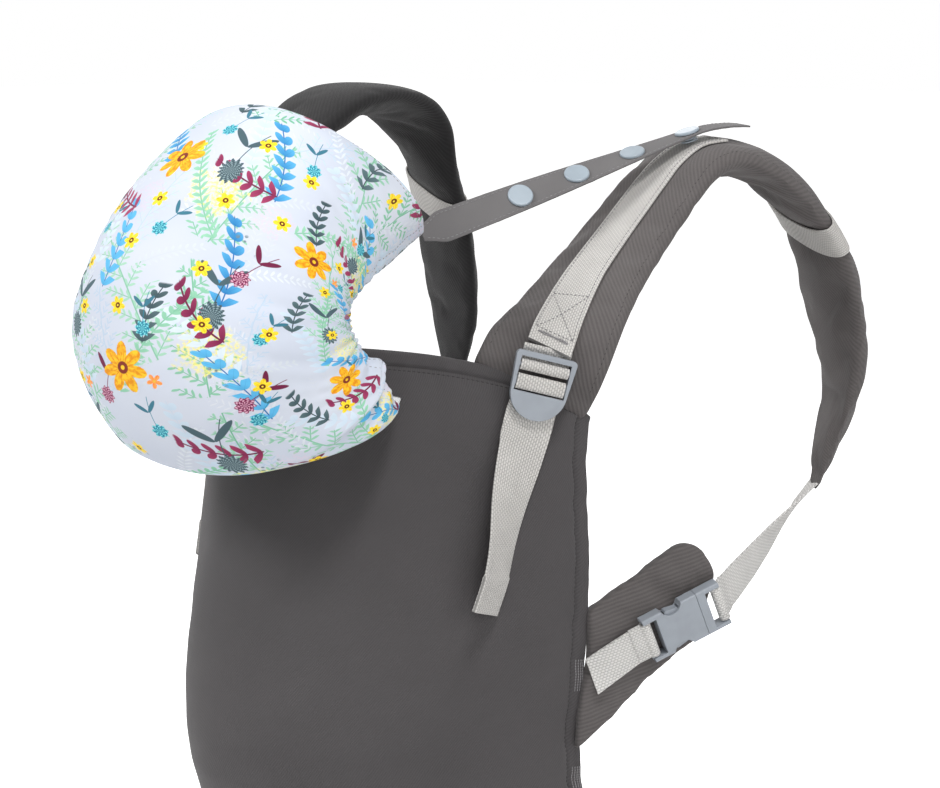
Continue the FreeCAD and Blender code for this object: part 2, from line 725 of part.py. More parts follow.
def sideBuckleFrame(name):
    side = sides[name]
    edge = wingCorner
    run = planVector(wingTurn)
    outward = Vector(run.y, -run.x, 0)
    start = edge + run * buckleStart[0] + outward * buckleOut + Vector(0, 0, buckleStart[1])
    rise = math.radians(buckleRise)
    along = run * math.cos(rise) + Vector(0, 0, math.sin(rise))
    upward = Vector(0, 0, math.cos(rise)) - run * math.sin(rise)
    roll = math.radians(buckleRoll)
    across = upward * math.cos(roll) + outward * math.sin(roll)
    return {"place": mirrored(start, side), "along": mirrored(along, side), "across": mirrored(across, side),
            "out": mirrored(across.cross(along), side), "edge": mirrored(edge, side),
            "run": mirrored(run, side), "outward": mirrored(outward, side)}


def makeBuckle(prefix, b, frame):
    def put(shape):
        return placed(shape, frame["place"], frame["along"], frame["across"])
    save(prefix + "_housing", put(housingShape(b)))
    save(prefix + "_plug", put(plugShape(b)))
    prong = prongShape(b)
    save(prefix + "_prong_upper", put(prong))
    save(prefix + "_prong_lower", put(prong.mirror(Vector(0, 0, 0), Vector(0, 1, 0))))


def frameAt(frame, distance):
    return {"place": frame["place"] + frame["along"] * distance, "across": frame["across"], "out": frame["out"]}


def makeSide(name, zone, padFrames):
    side = sides[name]
    b = sideBuckle
    f = sideBuckleFrame(name)
    makeBuckle("side_buckle_" + name, b, f)
    # padded wing behind the buckle
    corner = f["edge"]
    points = [corner + f["run"] * a + Vector(0, 0, z) for a, z in wingOutline]
    wing = prism(points, f["outward"] * -wingThickness)
    rounds = [e for e in wing.Edges if abs(e.Length - wingThickness) < 0.01
              and (e.CenterOfMass - corner).dot(f["run"]) > 60]
    wing = wing.makeFillet(wingRound, rounds)
    save("side_wing_" + name, largestSolid(wing.cut(zone)))
    # webbing from the side edge to the housing
    tab = placed(barLoop(b, b["barAt"], 1), f["place"], f["along"], f["across"])
    tip = frameAt(f, b["barAt"] - loopReach(b) + 1.5)
    rootPlace = corner - f["run"] * 5 + f["outward"] * 2.0 + Vector(0, 0, webbingRoot - 3)
    along = unit(tip["place"] - rootPlace)
    upright = unit(Vector(0, 0, 1) - along * along.z)
    root = {"place": rootPlace, "across": upright, "out": unit(upright.cross(along))}
    root["out"] = root["out"] * (1 if root["out"].dot(f["outward"]) > 0 else -1)
    tip["out"] = tip["out"] * (1 if tip["out"].dot(f["outward"]) > 0 else -1)
    half = webbingThickness / 2
    web = Part.makeLoft([sectionWire(v, [(-b["web"] / 2, -half), (b["web"] / 2, -half), (b["web"] / 2, half),
                                         (-b["web"] / 2, half)]) for v in (root, tip)], True, True)
    save("side_webbing_" + name, largestSolid(tab.fuse(web).cut(zone)))
    # webbing from the plug to the shoulder strap's lower end
    bar = f["place"] + f["along"] * plugBar(b)
    _, tipFrame = strapEndFrames(padFrames)
    end = dict(tipFrame, place=tipFrame["place"] + tipFrame["along"] * layerGap)
    span = end["place"] - bar
    leave = unit(span - f["across"] * span.dot(f["across"]))
    tab = placed(barLoop(b, 0.0, -1), bar, leave, f["across"])
    start = bar + leave * (loopReach(b) - 1.5)
    turned = end["across"] * (1 if end["across"].dot(f["across"]) > 0 else -1)
    stations = []
    for share in (0.0, 0.1, 0.3, 0.5, 0.7, 0.9, 1.0):
        sag = Vector(0, 0, -strapSag * math.sin(math.pi * share))
        stations.append((start + (end["place"] - start) * share + sag, f["across"] * (1 - share) + turned * share))
    frames = framesOf(stations, 1)
    frames[0].update({"across": f["across"], "out": f["across"].cross(leave)})
    frames[-1].update({"across": turned, "out": turned.cross(tipFrame["along"])})
    strip = ribbon(frames, b["web"], -half, half)
    save("lower_strap_" + name, largestSolid(tab.fuse(strip)))


# ---- hood ----
def hoodRibPoints(rib):
    halfWidth, ay, az, ey, ez = rib
    reach = math.radians(hoodReach)
    points = []
    for k in range(-hoodSteps, hoodSteps + 1):
        turn = reach * k / hoodSteps
        share = (1 - math.cos(turn)) / (1 - math.cos(reach))
        points.append(Vector(halfWidth * math.sin(turn), ay + (ey - ay) * share, az + (ez - az) * share))
    return points


def hoodSeatPoints():
    # the seam along the panel's face
    half, middle, end = hoodSeat
    shares = [k / hoodSteps for k in range(-hoodSteps, hoodSteps + 1)]
    return [onPanel(half * s, middle + (end - middle) * s ** 2, seatGap) for s in shares]


def hoodGrid():
    rows = [hoodSeatPoints()] + [hoodRibPoints(rib) for rib in hoodRibs]
    # one more rib between each pair, on the smooth curve through its neighbours
    full = []
    last = len(rows) - 1
    for k in range(last):
        before, after = rows[max(k - 1, 0)], rows[min(k + 2, last)]
        full.append(rows[k])
        full.append([((b + c) * 9 - a - d) * (1 / 16) for a, b, c, d in zip(before, rows[k], rows[k + 1], after)])
    return full + [rows[last]]


def hoodNormal(grid, i, j):
    # towards the child's head
    down = grid[min(i + 1, len(grid) - 1)][j] - grid[max(i - 1, 0)][j]
    right = grid[i][min(j + 1, len(grid[i]) - 1)] - grid[i][max(j - 1, 0)]
    normal = unit(down.cross(right))
    return normal * (1 if normal.dot(hoodCentre - grid[i][j]) > 0 else -1)


def hoodRows(grid, depth):
    return [[p + hoodNormal(grid, i, j) * depth for j, p in enumerate(row)] for i, row in enumerate(grid)]


def splineKnots(count):
    degree = min(3, count - 1)
    spans = count - degree
    return [degree + 1] + [1] * (spans - 1) + [degree + 1], [float(k) for k in range(spans + 1)], degree


def surfaceThrough(rows):
    # a smooth sheet drawn towards the given points, never beyond them
    uMults, uKnots, uDegree = splineKnots(len(rows))
    vMults, vKnots, vDegree = splineKnots(len(rows[0]))
    surface = Part.BSplineSurface()
    surface.buildFromPolesMultsKnots(rows, uMults, vMults, uKnots, vKnots, False, False, uDegree, vDegree)
    return surface.toShape()


def skinBetween(outer, inner):
    # a closed skin between two sheets that share no edge
    columns = [list(zip(*rows)) for rows in (outer, inner)]
    faces = [surfaceThrough(rows) for rows in (outer, inner)]
    for end in (0, -1):
        faces.append(surfaceThrough([outer[end], inner[end]]))
        faces.append(surfaceThrough([list(sheet[end]) for sheet in columns]))
    shell = Part.makeShell(faces)
    shell.sewShape()
    solid = Part.makeSolid(shell.Shells[0] if shell.Shells else shell)
    if solid.Volume < 0:
        solid.reverse()
    return solid


def makeHood():
    grid = hoodGrid()
    lining = hoodCloth + hoodGap
    save("hood_shell", skinBetween(hoodRows(grid, 0.0), hoodRows(grid, hoodCloth)))
    save("hood_lining", skinBetween(hoodRows(grid, lining), hoodRows(grid, lining + hoodLining)))
    # a flat elastic lies inside each side edge
    inside = lining + hoodLining + 2 * hoodGap
    for name, side in sides.items():
        edge, inner = (2 * hoodSteps, 2 * hoodSteps - 1) if side > 0 else (0, 1)

        def strip(depth):
            rows = []
            for row in hoodRows(grid, depth)[2:-1]:
                across = unit(row[inner] - row[edge])
                rows.append([row[edge] + across * (2.0 + elasticWidth * k / 3) for k in range(4)])
            return rows

        save("hood_elastic_" + name, skinBetween(strip(inside), strip(inside + 1.0)))


def hoodCorner(name):
    return hoodRibPoints(hoodRibs[-1])[-1 if sides[name] > 0 else 0]


def studFrame(name, frames):
    front, _ = strapRoutes[name]
    f = frameNear(frames, Vector(*front[studStation[name]][:3]))
    place = f["place"] + f["out"] * (f["thick"] + 3 * layerGap + webbingThickness)
    out = f["out"]
    if name == "right":
        # it stands square to the strap that is snapped on it
        along = unit(place - hoodCorner(name))
        out = unit(out - along * out.dot(along))
    return {"place": place, "out": out}


def hoodStrapFrame(name, frames):
    # the right strap runs straight from the hood's corner to its stud, the left one hangs down
    corner = hoodCorner(name)
    stud = studFrame("right", frames)
    if name == "right":
        over = stud["place"] + stud["out"] * (studBaseThickness + socketThickness + 3 * layerGap + webbingThickness / 2)
        lift = stud["out"]
    else:
        over = corner + Vector(0, 0, -hoodStrapReach)
        lift = Vector(0, 1, 0)
    along = unit(over - corner)
    lift = unit(lift - along * lift.dot(along))
    return {"corner": corner, "along": along, "lift": lift, "reach": (over - corner).Length,
            "start": unit(Vector(0.75, -0.6, 0.25)) if name == "right" else lift}


def hoodStrapPlace(h, distance):
    # a place on the strap, its normal turning from the hood's side to the shoulder strap's top
    share = min(max(distance / h["reach"], 0.0), 1.0)
    mixed = h["start"] * (1 - share) + h["lift"] * share
    normal = unit(mixed - h["along"] * mixed.dot(h["along"]))
    beyond = max(distance - h["reach"], 0.0) / hoodStrapTip
    place = h["corner"] + h["along"] * distance - normal * hoodStrapDroop * beyond ** 2
    return {"place": place, "out": normal, "across": h["along"].cross(normal)}


def snapPieces(p):
    # cap, post and socket of one snap, and the hole it needs
    up = p["out"]
    top = webbingThickness / 2 + layerGap
    cap = Part.makeCylinder(capRadius, capThickness, p["place"] + up * top, up)
    rim = [e for e in cap.Edges if e.Length > 6 * capRadius - 1 and (e.CenterOfMass - p["place"]).dot(up) > top + 0.5]
    cap = cap.makeFillet(capThickness * 0.6, rim)
    post = Part.makeCylinder(postRadius, 2 * top + 0.4, p["place"] - up * (top + 0.2), up)
    socket = Part.makeCylinder(socketRadius, socketThickness, p["place"] - up * top, up * -1.0)
    well = Part.makeCylinder(nippleRadius + nippleGap, socketThickness, p["place"] - up * (top + 0.8), up * -1.0)
    hole = Part.makeCylinder(postRadius + 0.1, 6.0, p["place"] - up * 3.0, up)
    return largestSolid(cap.fuse([post, socket]).cut(well)), hole


def makeHoodStrap(name, frames):
    h = hoodStrapFrame(name, frames)
    snapAt = [h["reach"] + (k - snappedCap) * snapPitch for k in range(snapCount)]
    end = snapAt[-1] + hoodStrapTip
    marks = [hoodStrapStart + (h["reach"] - hoodStrapStart) * k / 8 for k in range(8)]
    marks += [h["reach"] + 5 + (end - h["reach"] - 5) * k / 8 for k in range(9)]
    strip = ribbon([hoodStrapPlace(h, d) for d in marks], hoodStrapWidth, -webbingThickness / 2, webbingThickness / 2)
    snaps = [snapPieces(hoodStrapPlace(h, d)) for d in snapAt]
    save("hood_strap_" + name, largestSolid(strip.cut(Part.makeCompound([hole for _, hole in snaps]))))
    save("hood_snaps_" + name, Part.makeCompound([snap for snap, _ in snaps]))


def makeStud(name, frames):
    # sewn to the shoulder strap; its nipple stands in the snapped socket
    stud = studFrame(name, frames)
    base = Part.makeCylinder(studBaseRadius, studBaseThickness, stud["place"], stud["out"])
    height = studBaseThickness + layerGap + socketThickness - 1.4
    nipple = Part.makeCylinder(nippleRadius, height, stud["place"], stud["out"])
    save("snap_stud_" + name, base.fuse(nipple))


# ---- back of the waist belt ----
def makeWaistClosure():
    b = waistBuckle
    middle = (b["length"] + runGap + b["base"] + b["slot"] + 2 * b["barRadius"]) / 2
    y = beltHalfDepth - beltThickness / 2
    frame = {"place": Vector(-middle, y, 0), "along": Vector(1, 0, 0), "across": Vector(0, 0, 1),
             "out": Vector(0, 1, 0)}
    makeBuckle("waist_buckle", b, frame)
    half = webbingThickness / 2
    for name, side in sides.items():
        x = plugBar(b) if side > 0 else b["barAt"]
        tab = placed(barLoop(b, x, -side), frame["place"], frame["along"], frame["across"])
        tabEnd = frame["place"].x + x + side * (loopReach(b) - 1.5)
        # along the belt's cover, then across to the tab
        turns = [beltEndTurn() - back / beltHalfWidth for back in (44.0, 33.0, 22.0, 11.0, 0.0, -11.0)]
        onBelt = [ellipseAt(turn, -(seatGap + webbingThickness / 2)) for turn in turns]
        route = [Vector(p.x * side, p.y, 0) for p in onBelt] + [Vector(tabEnd, y, 0)]
        stations = [(p, Vector(0, 0, 1)) for p in route]
        strip = ribbon(framesOf(stations, 1), b["web"], -half, half)
        save("waist_webbing_" + name, largestSolid(tab.fuse(strip)))


def main():
    makeBelt()
    makePanel()
    zone = panelZone(layerGap)
    padZone = panelZone(lockBottom[2] + lock["thickness"])
    pads = {name: strapFrames(name) for name in sides}
    for name, frames in pads.items():
        makeShoulderStrap(name, padZone, frames)
        makeStrapEnd(name, frames)
        makeStrapWebbing(name, frames)
        makeBand(name, frames)
        makeLock(name)
        makeTail(name)
        makeSide(name, zone, frames)
        makeHoodStrap(name, pads["right"])
        makeStud(name, frames)
    makeHood()
    makeWaistClosure()


main()
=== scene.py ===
import json
import math

import bpy
import numpy as np
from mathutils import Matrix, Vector, noise
from mathutils.bvhtree import BVHTree


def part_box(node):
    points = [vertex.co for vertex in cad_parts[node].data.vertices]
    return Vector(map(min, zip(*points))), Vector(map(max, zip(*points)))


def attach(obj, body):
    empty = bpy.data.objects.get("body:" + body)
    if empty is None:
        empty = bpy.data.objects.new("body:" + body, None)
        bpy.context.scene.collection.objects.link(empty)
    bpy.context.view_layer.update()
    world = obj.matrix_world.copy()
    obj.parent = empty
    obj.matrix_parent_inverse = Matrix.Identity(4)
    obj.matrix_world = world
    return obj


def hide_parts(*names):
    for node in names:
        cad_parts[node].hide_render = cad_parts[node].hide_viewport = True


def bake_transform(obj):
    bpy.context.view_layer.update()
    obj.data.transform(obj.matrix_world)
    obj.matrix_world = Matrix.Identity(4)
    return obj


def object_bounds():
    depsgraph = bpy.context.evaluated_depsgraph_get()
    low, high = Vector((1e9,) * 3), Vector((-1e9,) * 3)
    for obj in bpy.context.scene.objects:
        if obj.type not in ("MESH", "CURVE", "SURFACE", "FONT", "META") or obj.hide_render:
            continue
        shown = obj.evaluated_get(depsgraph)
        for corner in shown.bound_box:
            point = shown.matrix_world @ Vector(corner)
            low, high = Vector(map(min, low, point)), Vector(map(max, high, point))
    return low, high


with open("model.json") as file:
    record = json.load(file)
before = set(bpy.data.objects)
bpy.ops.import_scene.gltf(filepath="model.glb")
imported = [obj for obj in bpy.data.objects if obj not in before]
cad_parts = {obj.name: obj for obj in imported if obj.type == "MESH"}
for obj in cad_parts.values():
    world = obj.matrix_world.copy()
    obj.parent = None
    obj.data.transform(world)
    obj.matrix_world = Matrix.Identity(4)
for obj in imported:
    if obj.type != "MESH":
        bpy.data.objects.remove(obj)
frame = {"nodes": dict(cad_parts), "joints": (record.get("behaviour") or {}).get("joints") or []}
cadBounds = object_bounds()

joints = {joint["name"]: joint for joint in frame["joints"]}
sides = {"right": 1, "left": -1}
mm = 0.001

# camera, floor and light
view = {"place": (1.3086, -1.5005, 0.6717), "target": (0.0065, -0.0544, 0.3982), "lens": 107.0}
stage = {"size": 36.0, "drop": 0.012, "tone": (0.93, 0.93, 0.93), "glow": 0.8, "sky": 0.34, "skySeen": 1.0}
lampTarget = (0, -0.1, 0.35)
lamps = {
    "key": {"place": (-1.2, -2.0, 2.2), "size": 0.9, "power": 44.0},
    "fill": {"place": (2.4, -0.9, 1.2), "size": 1.6, "power": 18.0},
    "top": {"place": (1.1, -0.7, 2.3), "size": 0.5, "power": 24.0},
    "back": {"place": (-1.6, 2.0, 1.4), "size": 1.5, "power": 12.0},
}


def aim(thing, target):
    away = Vector(target) - thing.location
    thing.rotation_euler = away.to_track_quat("-Z", "Y").to_euler()


def makeCamera():
    bpy.ops.object.camera_add(location=view["place"])
    camera = bpy.context.object
    aim(camera, view["target"])
    camera.data.lens = view["lens"]
    camera.data.sensor_width = 36.0
    camera.data.clip_end = 30.0
    bpy.context.scene.camera = camera


def makeLamps():
    for name, lamp in lamps.items():
        bpy.ops.object.light_add(type="AREA", location=lamp["place"])
        light = bpy.context.object
        light.name = "light_" + name
        light.data.size = lamp["size"]
        light.data.energy = lamp["power"]
        aim(light, lampTarget)


class Value:
    # one socket of a material, with arithmetic
    def __init__(self, graph, socket):
        self.graph = graph
        self.socket = socket

    def math(self, operation, *others, clamp=False):
        node = self.graph.tree.nodes.new("ShaderNodeMath")
        node.operation = operation
        node.use_clamp = clamp
        for place, item in zip(node.inputs, (self,) + others):
            self.graph.plug(place, item)
        return Value(self.graph, node.outputs[0])

    def __add__(self, other):
        return self.math("ADD", other)

    __radd__ = __add__

    def __mul__(self, other):
        return self.math("MULTIPLY", other)

    __rmul__ = __mul__

    def __sub__(self, other):
        return self.math("SUBTRACT", other)

    def __rsub__(self, other):
        return (self * -1.0) + other

    def __truediv__(self, other):
        return self.math("DIVIDE", other)

    def __abs__(self):
        return self.math("ABSOLUTE")

    def sin(self):
        return self.math("SINE")

    def cos(self):
        return self.math("COSINE")

    def floor(self):
        return self.math("FLOOR")

    def fract(self):
        return self.math("FRACT")

    def root(self):
        return self.math("SQRT")

    def most(self, other):
        return self.math("MAXIMUM", other)

    def clamped(self):
        return self.math("ADD", 0.0, clamp=True)

    def ramp(self, low, high):
        # 0 below low, 1 above high, smooth between; low may be the larger
        settings = {"interpolation_type": "SMOOTHSTEP"}
        return self.graph.add("MapRange", settings, {0: self, 1: low, 2: high})[0]


class Graph:
    def __init__(self, name):
        self.material = bpy.data.materials.new(name)
        self.material.use_nodes = True
        self.tree = self.material.node_tree
        self.shader = self.tree.nodes["Principled BSDF"]

    def plug(self, socket, item):
        if isinstance(item, Value):
            self.tree.links.new(item.socket, socket)
        elif hasattr(socket, "default_value"):
            if isinstance(item, (tuple, list)) and len(item) == 3 and socket.type == "RGBA":
                item = tuple(item) + (1.0,)
            socket.default_value = item

    def add(self, kind, settings, inputs):
        node = self.tree.nodes.new("ShaderNode" + kind)
        for key, setting in settings.items():
            setattr(node, key, setting)
        for key, item in inputs.items():
            self.plug(node.inputs[key], item)
        return [Value(self, socket) for socket in node.outputs]

    def mix(self, low, high, share):
        return self.add("Mix", {"data_type": "RGBA"}, {0: share, 6: low, 7: high})[2]

    def uv(self):
        # across and along the cloth, in millimetres
        spot = self.add("UVMap", {"uv_map": "cloth"}, {})[0]
        x, y, _ = self.add("SeparateXYZ", {}, {0: spot})
        return x * 1000.0, y * 1000.0

    def spot(self):
        return self.add("TexCoord", {}, {})[3]

    def noise(self, vector, scale, detail=2.0):
        return self.add("TexNoise", {}, {"Vector": vector, "Scale": scale, "Detail": detail})[0]

    def point(self, x, y, z=0.0):
        return self.add("CombineXYZ", {}, {0: x, 1: y, 2: z})[0]

    def bump(self, height, distance):
        return self.add("Bump", {}, {"Height": height, "Distance": distance, "Strength": 1.0})[0]

    def finish(self, color, rough, normal=None, sheen=0.0, specular=0.5):
        self.plug(self.shader.inputs["Base Color"], color)
        self.plug(self.shader.inputs["Roughness"], rough)
        if normal is not None:
            self.plug(self.shader.inputs["Normal"], normal)
        self.shader.inputs["Sheen Weight"].default_value = sheen
        self.shader.inputs["Specular IOR Level"].default_value = specular
        return self.material


def linear(*rgb):
    # colour values of 0 to 255 as light
    return tuple((c / 255 / 12.92) if c < 10.3 else ((c / 255 + 0.055) / 1.055) ** 2.4 for c in rgb)


twills = {
    "charcoal_cloth": {"dark": (60, 58, 59), "light": (88, 85, 86), "rib": 1.5, "depth": 0.10},
    "charcoal_pad": {"dark": (70, 67, 67), "light": (110, 105, 104), "rib": 2.6, "depth": 0.22},
    # painted shade: a darker copy of the pad twill, for the left strap that stands in shadow
    "charcoal_pad_painted_shade": {"dark": (27, 26, 27), "light": (44, 43, 44), "rib": 2.6, "depth": 0.2},
}


def twillMaterial(name):
    t = twills[name]
    g = Graph(name)
    u, v = g.uv()
    wander = (g.noise(g.point(u * 0.03, v * 0.03), 1.0) - 0.5) * 2.4
    rib = ((u * 0.8 + v * 0.62 + wander) * (2 * math.pi / t["rib"])).sin() * 0.5 + 0.5
    threads = ((u * 9.0).sin() * (v * 9.0).sin()) * 0.5 + 0.5
    fibre = g.noise(g.point(u * 1.6, v * 0.8), 1.0, 3.0)
    cloud = g.noise(g.point(u * 0.012, v * 0.012), 1.0, 3.0)
    tone = (rib * 0.28 + threads * 0.12 + fibre * 0.34 + cloud * 0.5 - 0.12).clamped()
    color = g.mix(linear(*t["dark"]), linear(*t["light"]), tone)
    height = rib * 0.6 + threads * 0.25 + fibre * 0.4
    return g.finish(color, 0.86, g.bump(height, t["depth"] * mm), sheen=0.12, specular=0.22)


def webbingMaterial(name, dark, light, column=1.7, row=2.5):
    # warp ribs side by side, each crossed by the weft in turn
    g = Graph(name)
    u, v = g.uv()
    lane = u / column
    odd = (lane.floor() * 0.5).fract() * 2.0
    pick = v / row + odd * 0.5
    across = (lane.fract() - 0.5) * 2.0
    along = (pick.fract() - 0.5) * 2.0
    raised = (1.0 - across * across).most(0.0).root() * (1.0 - along * along * 0.9).most(0.0).root()
    hairs = g.noise(g.point(u * 5.0, v * 1.2), 1.0, 2.0)
    cloud = g.noise(g.point(u * 0.05, v * 0.05), 1.0, 2.0)
    tone = (raised * 0.75 + hairs * 0.3 + cloud * 0.25 - 0.12).clamped()
    color = g.mix(linear(*dark), linear(*light), tone)
    return g.finish(color, 0.74, g.bump(raised + hairs * 0.25, 0.32 * mm), sheen=0.1, specular=0.3)


def plasticMaterial(name, color, rough, grain):
    g = Graph(name)
    spot = g.spot()
    cloud = g.noise(spot, 60.0, 3.0)
    fine = g.noise(spot, 1400.0, 2.0)
    shade = g.mix(linear(*[c * 0.95 for c in color]), linear(*color), cloud.ramp(0.3, 0.7))
    return g.finish(shade, rough + cloud * 0.12 - 0.06, g.bump(fine, grain * mm), specular=0.45)


def plainCloth(name, dark, light, depth):
    g = Graph(name)
    u, v = g.uv()
    weave = ((u * 7.0).sin() * (v * 7.0).sin()) * 0.5 + 0.5
    cloud = g.noise(g.point(u * 0.02, v * 0.02), 1.0, 3.0)
    tone = (weave * 0.4 + cloud * 0.8 - 0.15).clamped()
    return g.finish(g.mix(linear(*dark), linear(*light), tone), 0.85, g.bump(weave, depth * mm), sheen=0.08,
                    specular=0.25)


def threadMaterial(name, color):
    g = Graph(name)
    cloud = g.noise(g.spot(), 900.0, 2.0)
    shade = g.mix(linear(*[c * 0.8 for c in color]), linear(*color), cloud)
    return g.finish(shade, 0.6, specular=0.3)


class Print:
    # the hood's flowers: each motif is drawn once in its own cell of cloth
    def __init__(self, graph, ground):
        self.g = graph
        self.u, self.v = graph.uv()
        self.color = ground

    def scatter(self, s, wander=0.2):
        # the place within a cell, in millimetres, turned and moved at random
        g, cell, shift, seed = self.g, s["cell"], s["shift"], s["seed"]
        turn, chance = s.get("turn", (0.0, 6.283)), s.get("chance", 1.0)
        cu, cv = (self.u + shift[0]) / cell, (self.v + shift[1]) / cell
        iu, iv = cu.floor(), cv.floor()
        dice = g.add("TexWhiteNoise", {"noise_dimensions": "3D"}, {"Vector": g.point(iu, iv, seed)})
        r, s, t = g.add("SeparateColor", {}, {0: dice[1]})
        x = (cu.fract() - 0.5 - (r - 0.5) * wander) * cell
        y = (cv.fract() - 0.5 - (s - 0.5) * wander) * cell
        angle = t * (turn[1] - turn[0]) + turn[0]
        c, n = angle.cos(), angle.sin()
        shown = dice[0].ramp(chance + 0.001, chance - 0.001) if chance < 1 else None
        return x * c + y * n, y * c - x * n, shown, r

    def paint(self, mask, color, shown=None):
        if shown is not None:
            mask = mask * shown
        self.color = self.g.mix(self.color, color, mask)

    def rough(self, x, y, size, amount):
        # an edge that looks brushed
        return (self.g.noise(self.g.point(x * size, y * size), 1.0, 2.0) - 0.5) * amount


def leafShape(a, b, length, width):
    # from the root at a = 0 to the tip at a = length
    share = (a / length).clamped()
    half = (share * (1.0 - share)).root() * width
    return (half - abs(b)).ramp(0.0, 0.35) * a.ramp(0.0, 0.3)


def sprig(p, s):
    # a bent stem with pairs of leaves
    x, y, shown, r = p.scatter(s)
    x = x + s["length"] / 2
    y = y + x * x * s["bend"]
    inside = x.ramp(0.0, 1.0) * x.ramp(s["length"], s["length"] - 1.5)
    stem = (s["stem"] - abs(y)).ramp(0.0, 0.35) * inside
    at = x / s["pitch"]
    f = (at.fract() - 0.2) * s["pitch"]
    side = abs(y)
    c, n = math.cos(s["lean"]), math.sin(s["lean"])
    a, b = f * c + side * n, side * c - f * n
    taper = 1.15 - x / s["length"] * 0.7
    leaf = leafShape(a, b, s["leaf"][0] * taper, s["leaf"][1]) * inside
    vein = (0.16 - abs(b)).ramp(0.0, 0.2) * leaf
    p.paint(stem, linear(*s["tone"]), shown)
    p.paint(leaf, p.g.mix(linear(*s["tone"]), linear(*s["light"]), (r + a * 0.06).clamped()), shown)
    p.paint(vein * 0.5, linear(*s["tone"]), shown)


def frond(p, s):
    # a stem with side branches, each with small leaves of its own
    x, y, shown, r = p.scatter(s, 0.3)
    x = x + s["length"] / 2
    y = y + x * x * s["bend"]
    inside = x.ramp(0.0, 1.0) * x.ramp(s["length"], s["length"] - 2.0)
    p.paint((s["stem"] - abs(y)).ramp(0.0, 0.35) * inside, linear(*s["tone"]), shown)
    side = abs(y)
    half = (y.ramp(-0.01, 0.01)) * 0.5
    at = x / s["pitch"] + half
    f = (at.fract() - 0.15) * s["pitch"]
    c, n = math.cos(s["lean"]), math.sin(s["lean"])
    a, b = f * c + side * n, side * c - f * n
    reach = (1.0 - x / s["length"] * 0.75) * s["branch"]
    on = a.ramp(0.0, 0.6) * (reach - a).ramp(0.0, 1.5) * inside
    p.paint((s["stem"] * 0.7 - abs(b)).ramp(0.0, 0.3) * on, linear(*s["tone"]), shown)
    g = ((a / s["twig"]).fract() - 0.2) * s["twig"]
    d = abs(b)
    leafA, leafB = g * 0.72 + d * 0.69, d * 0.72 - g * 0.69
    leaf = leafShape(leafA, leafB, s["leaf"][0], s["leaf"][1]) * on
    p.paint(leaf, p.g.mix(linear(*s["tone"]), linear(*s["light"]), r), shown)


def daisy(p, s):
    x, y, shown, _ = p.scatter(s, 0.45)
    radius = (x * x + y * y).root()
    turn = y.math("ARCTAN2", x)
    petal = abs((turn * (s["petals"] / 2)).sin())
    edge = (petal * (1 - s["cleft"]) + s["cleft"]) * s["radius"] + p.rough(x, y, 0.8, 1.2)
    bloom = (edge - radius).ramp(0.0, 0.4)
    streak = p.g.noise(p.g.point(turn * 5.0, radius * 0.25), 1.0, 2.0)
    p.paint(bloom, p.g.mix(linear(*s["tone"]), linear(*s["light"]), streak.ramp(0.35, 0.65)), shown)
    heart = (s["heart"] - radius).ramp(0.0, 0.5)
    p.paint(heart, linear(*s["middle"]), shown)
    p.paint((s["heart"] * 0.4 - radius).ramp(0.0, 0.4), linear(*s["light"]), shown)


def pompon(p, s):
    # a round head of many fine florets on a stem
    x, y, shown, _ = p.scatter(s, 0.3)
    stemLine = (s["stem"] - abs(y + x * x * 0.006)).ramp(0.0, 0.35)
    p.paint(stemLine * x.ramp(0.0, 1.0) * x.ramp(s["reach"], s["reach"] - 1.0), linear(*s["tone"]), shown)
    past = x - s["reach"] * 0.55
    a, b = past * -0.7 + abs(y) * 0.7, past * 0.7 + abs(y) * 0.7
    p.paint(leafShape(b, a, s["leaf"][0], s["leaf"][1]), linear(*s["green"]), shown)
    radius = (x * x + y * y * s["squash"]).root()
    turn = y.math("ARCTAN2", x)
    teeth = ((turn * s["petals"]).sin() * 0.5 + 0.5) * s["radius"] * 0.22
    head = (s["radius"] - teeth - radius + p.rough(x, y, 1.1, 2.0)).ramp(0.0, 0.5)
    florets = (turn * s["petals"] + radius * 1.3).sin() * (radius * 2.2).sin()
    p.paint(head, p.g.mix(linear(*s["tone"]), linear(*s["light"]), florets.ramp(-0.3, 0.7)), shown)


def berries(p, s):
    # small round dots in a loose cluster
    x, y, shown, _ = p.scatter(s, 0.3)
    near = (x * x + y * y).root().ramp(s["spread"], s["spread"] - 4.0)
    places = {"Vector": p.g.point(x, y), "Scale": 1.0 / s["pitch"]}
    dots = p.g.add("TexVoronoi", {"feature": "F1"}, places)[0]
    p.paint((s["dot"] / s["pitch"] - dots).ramp(0.0, 0.12) * near, linear(*s["tone"]), shown)


def wash(p, s):
    # a soft patch of watercolour
    x, y, shown, _ = p.scatter(s, 0.4)
    patch = (s["radius"] - (x * x + y * y).root() + p.rough(x, y, 0.12, s["radius"] * 1.5)).ramp(0.0, 5.0)
    speckle = p.g.noise(p.g.point(x * 0.5, y * 0.5), 1.0, 3.0).ramp(0.38, 0.6)
    p.paint(patch * speckle * s["weight"], linear(*s["tone"]), shown)


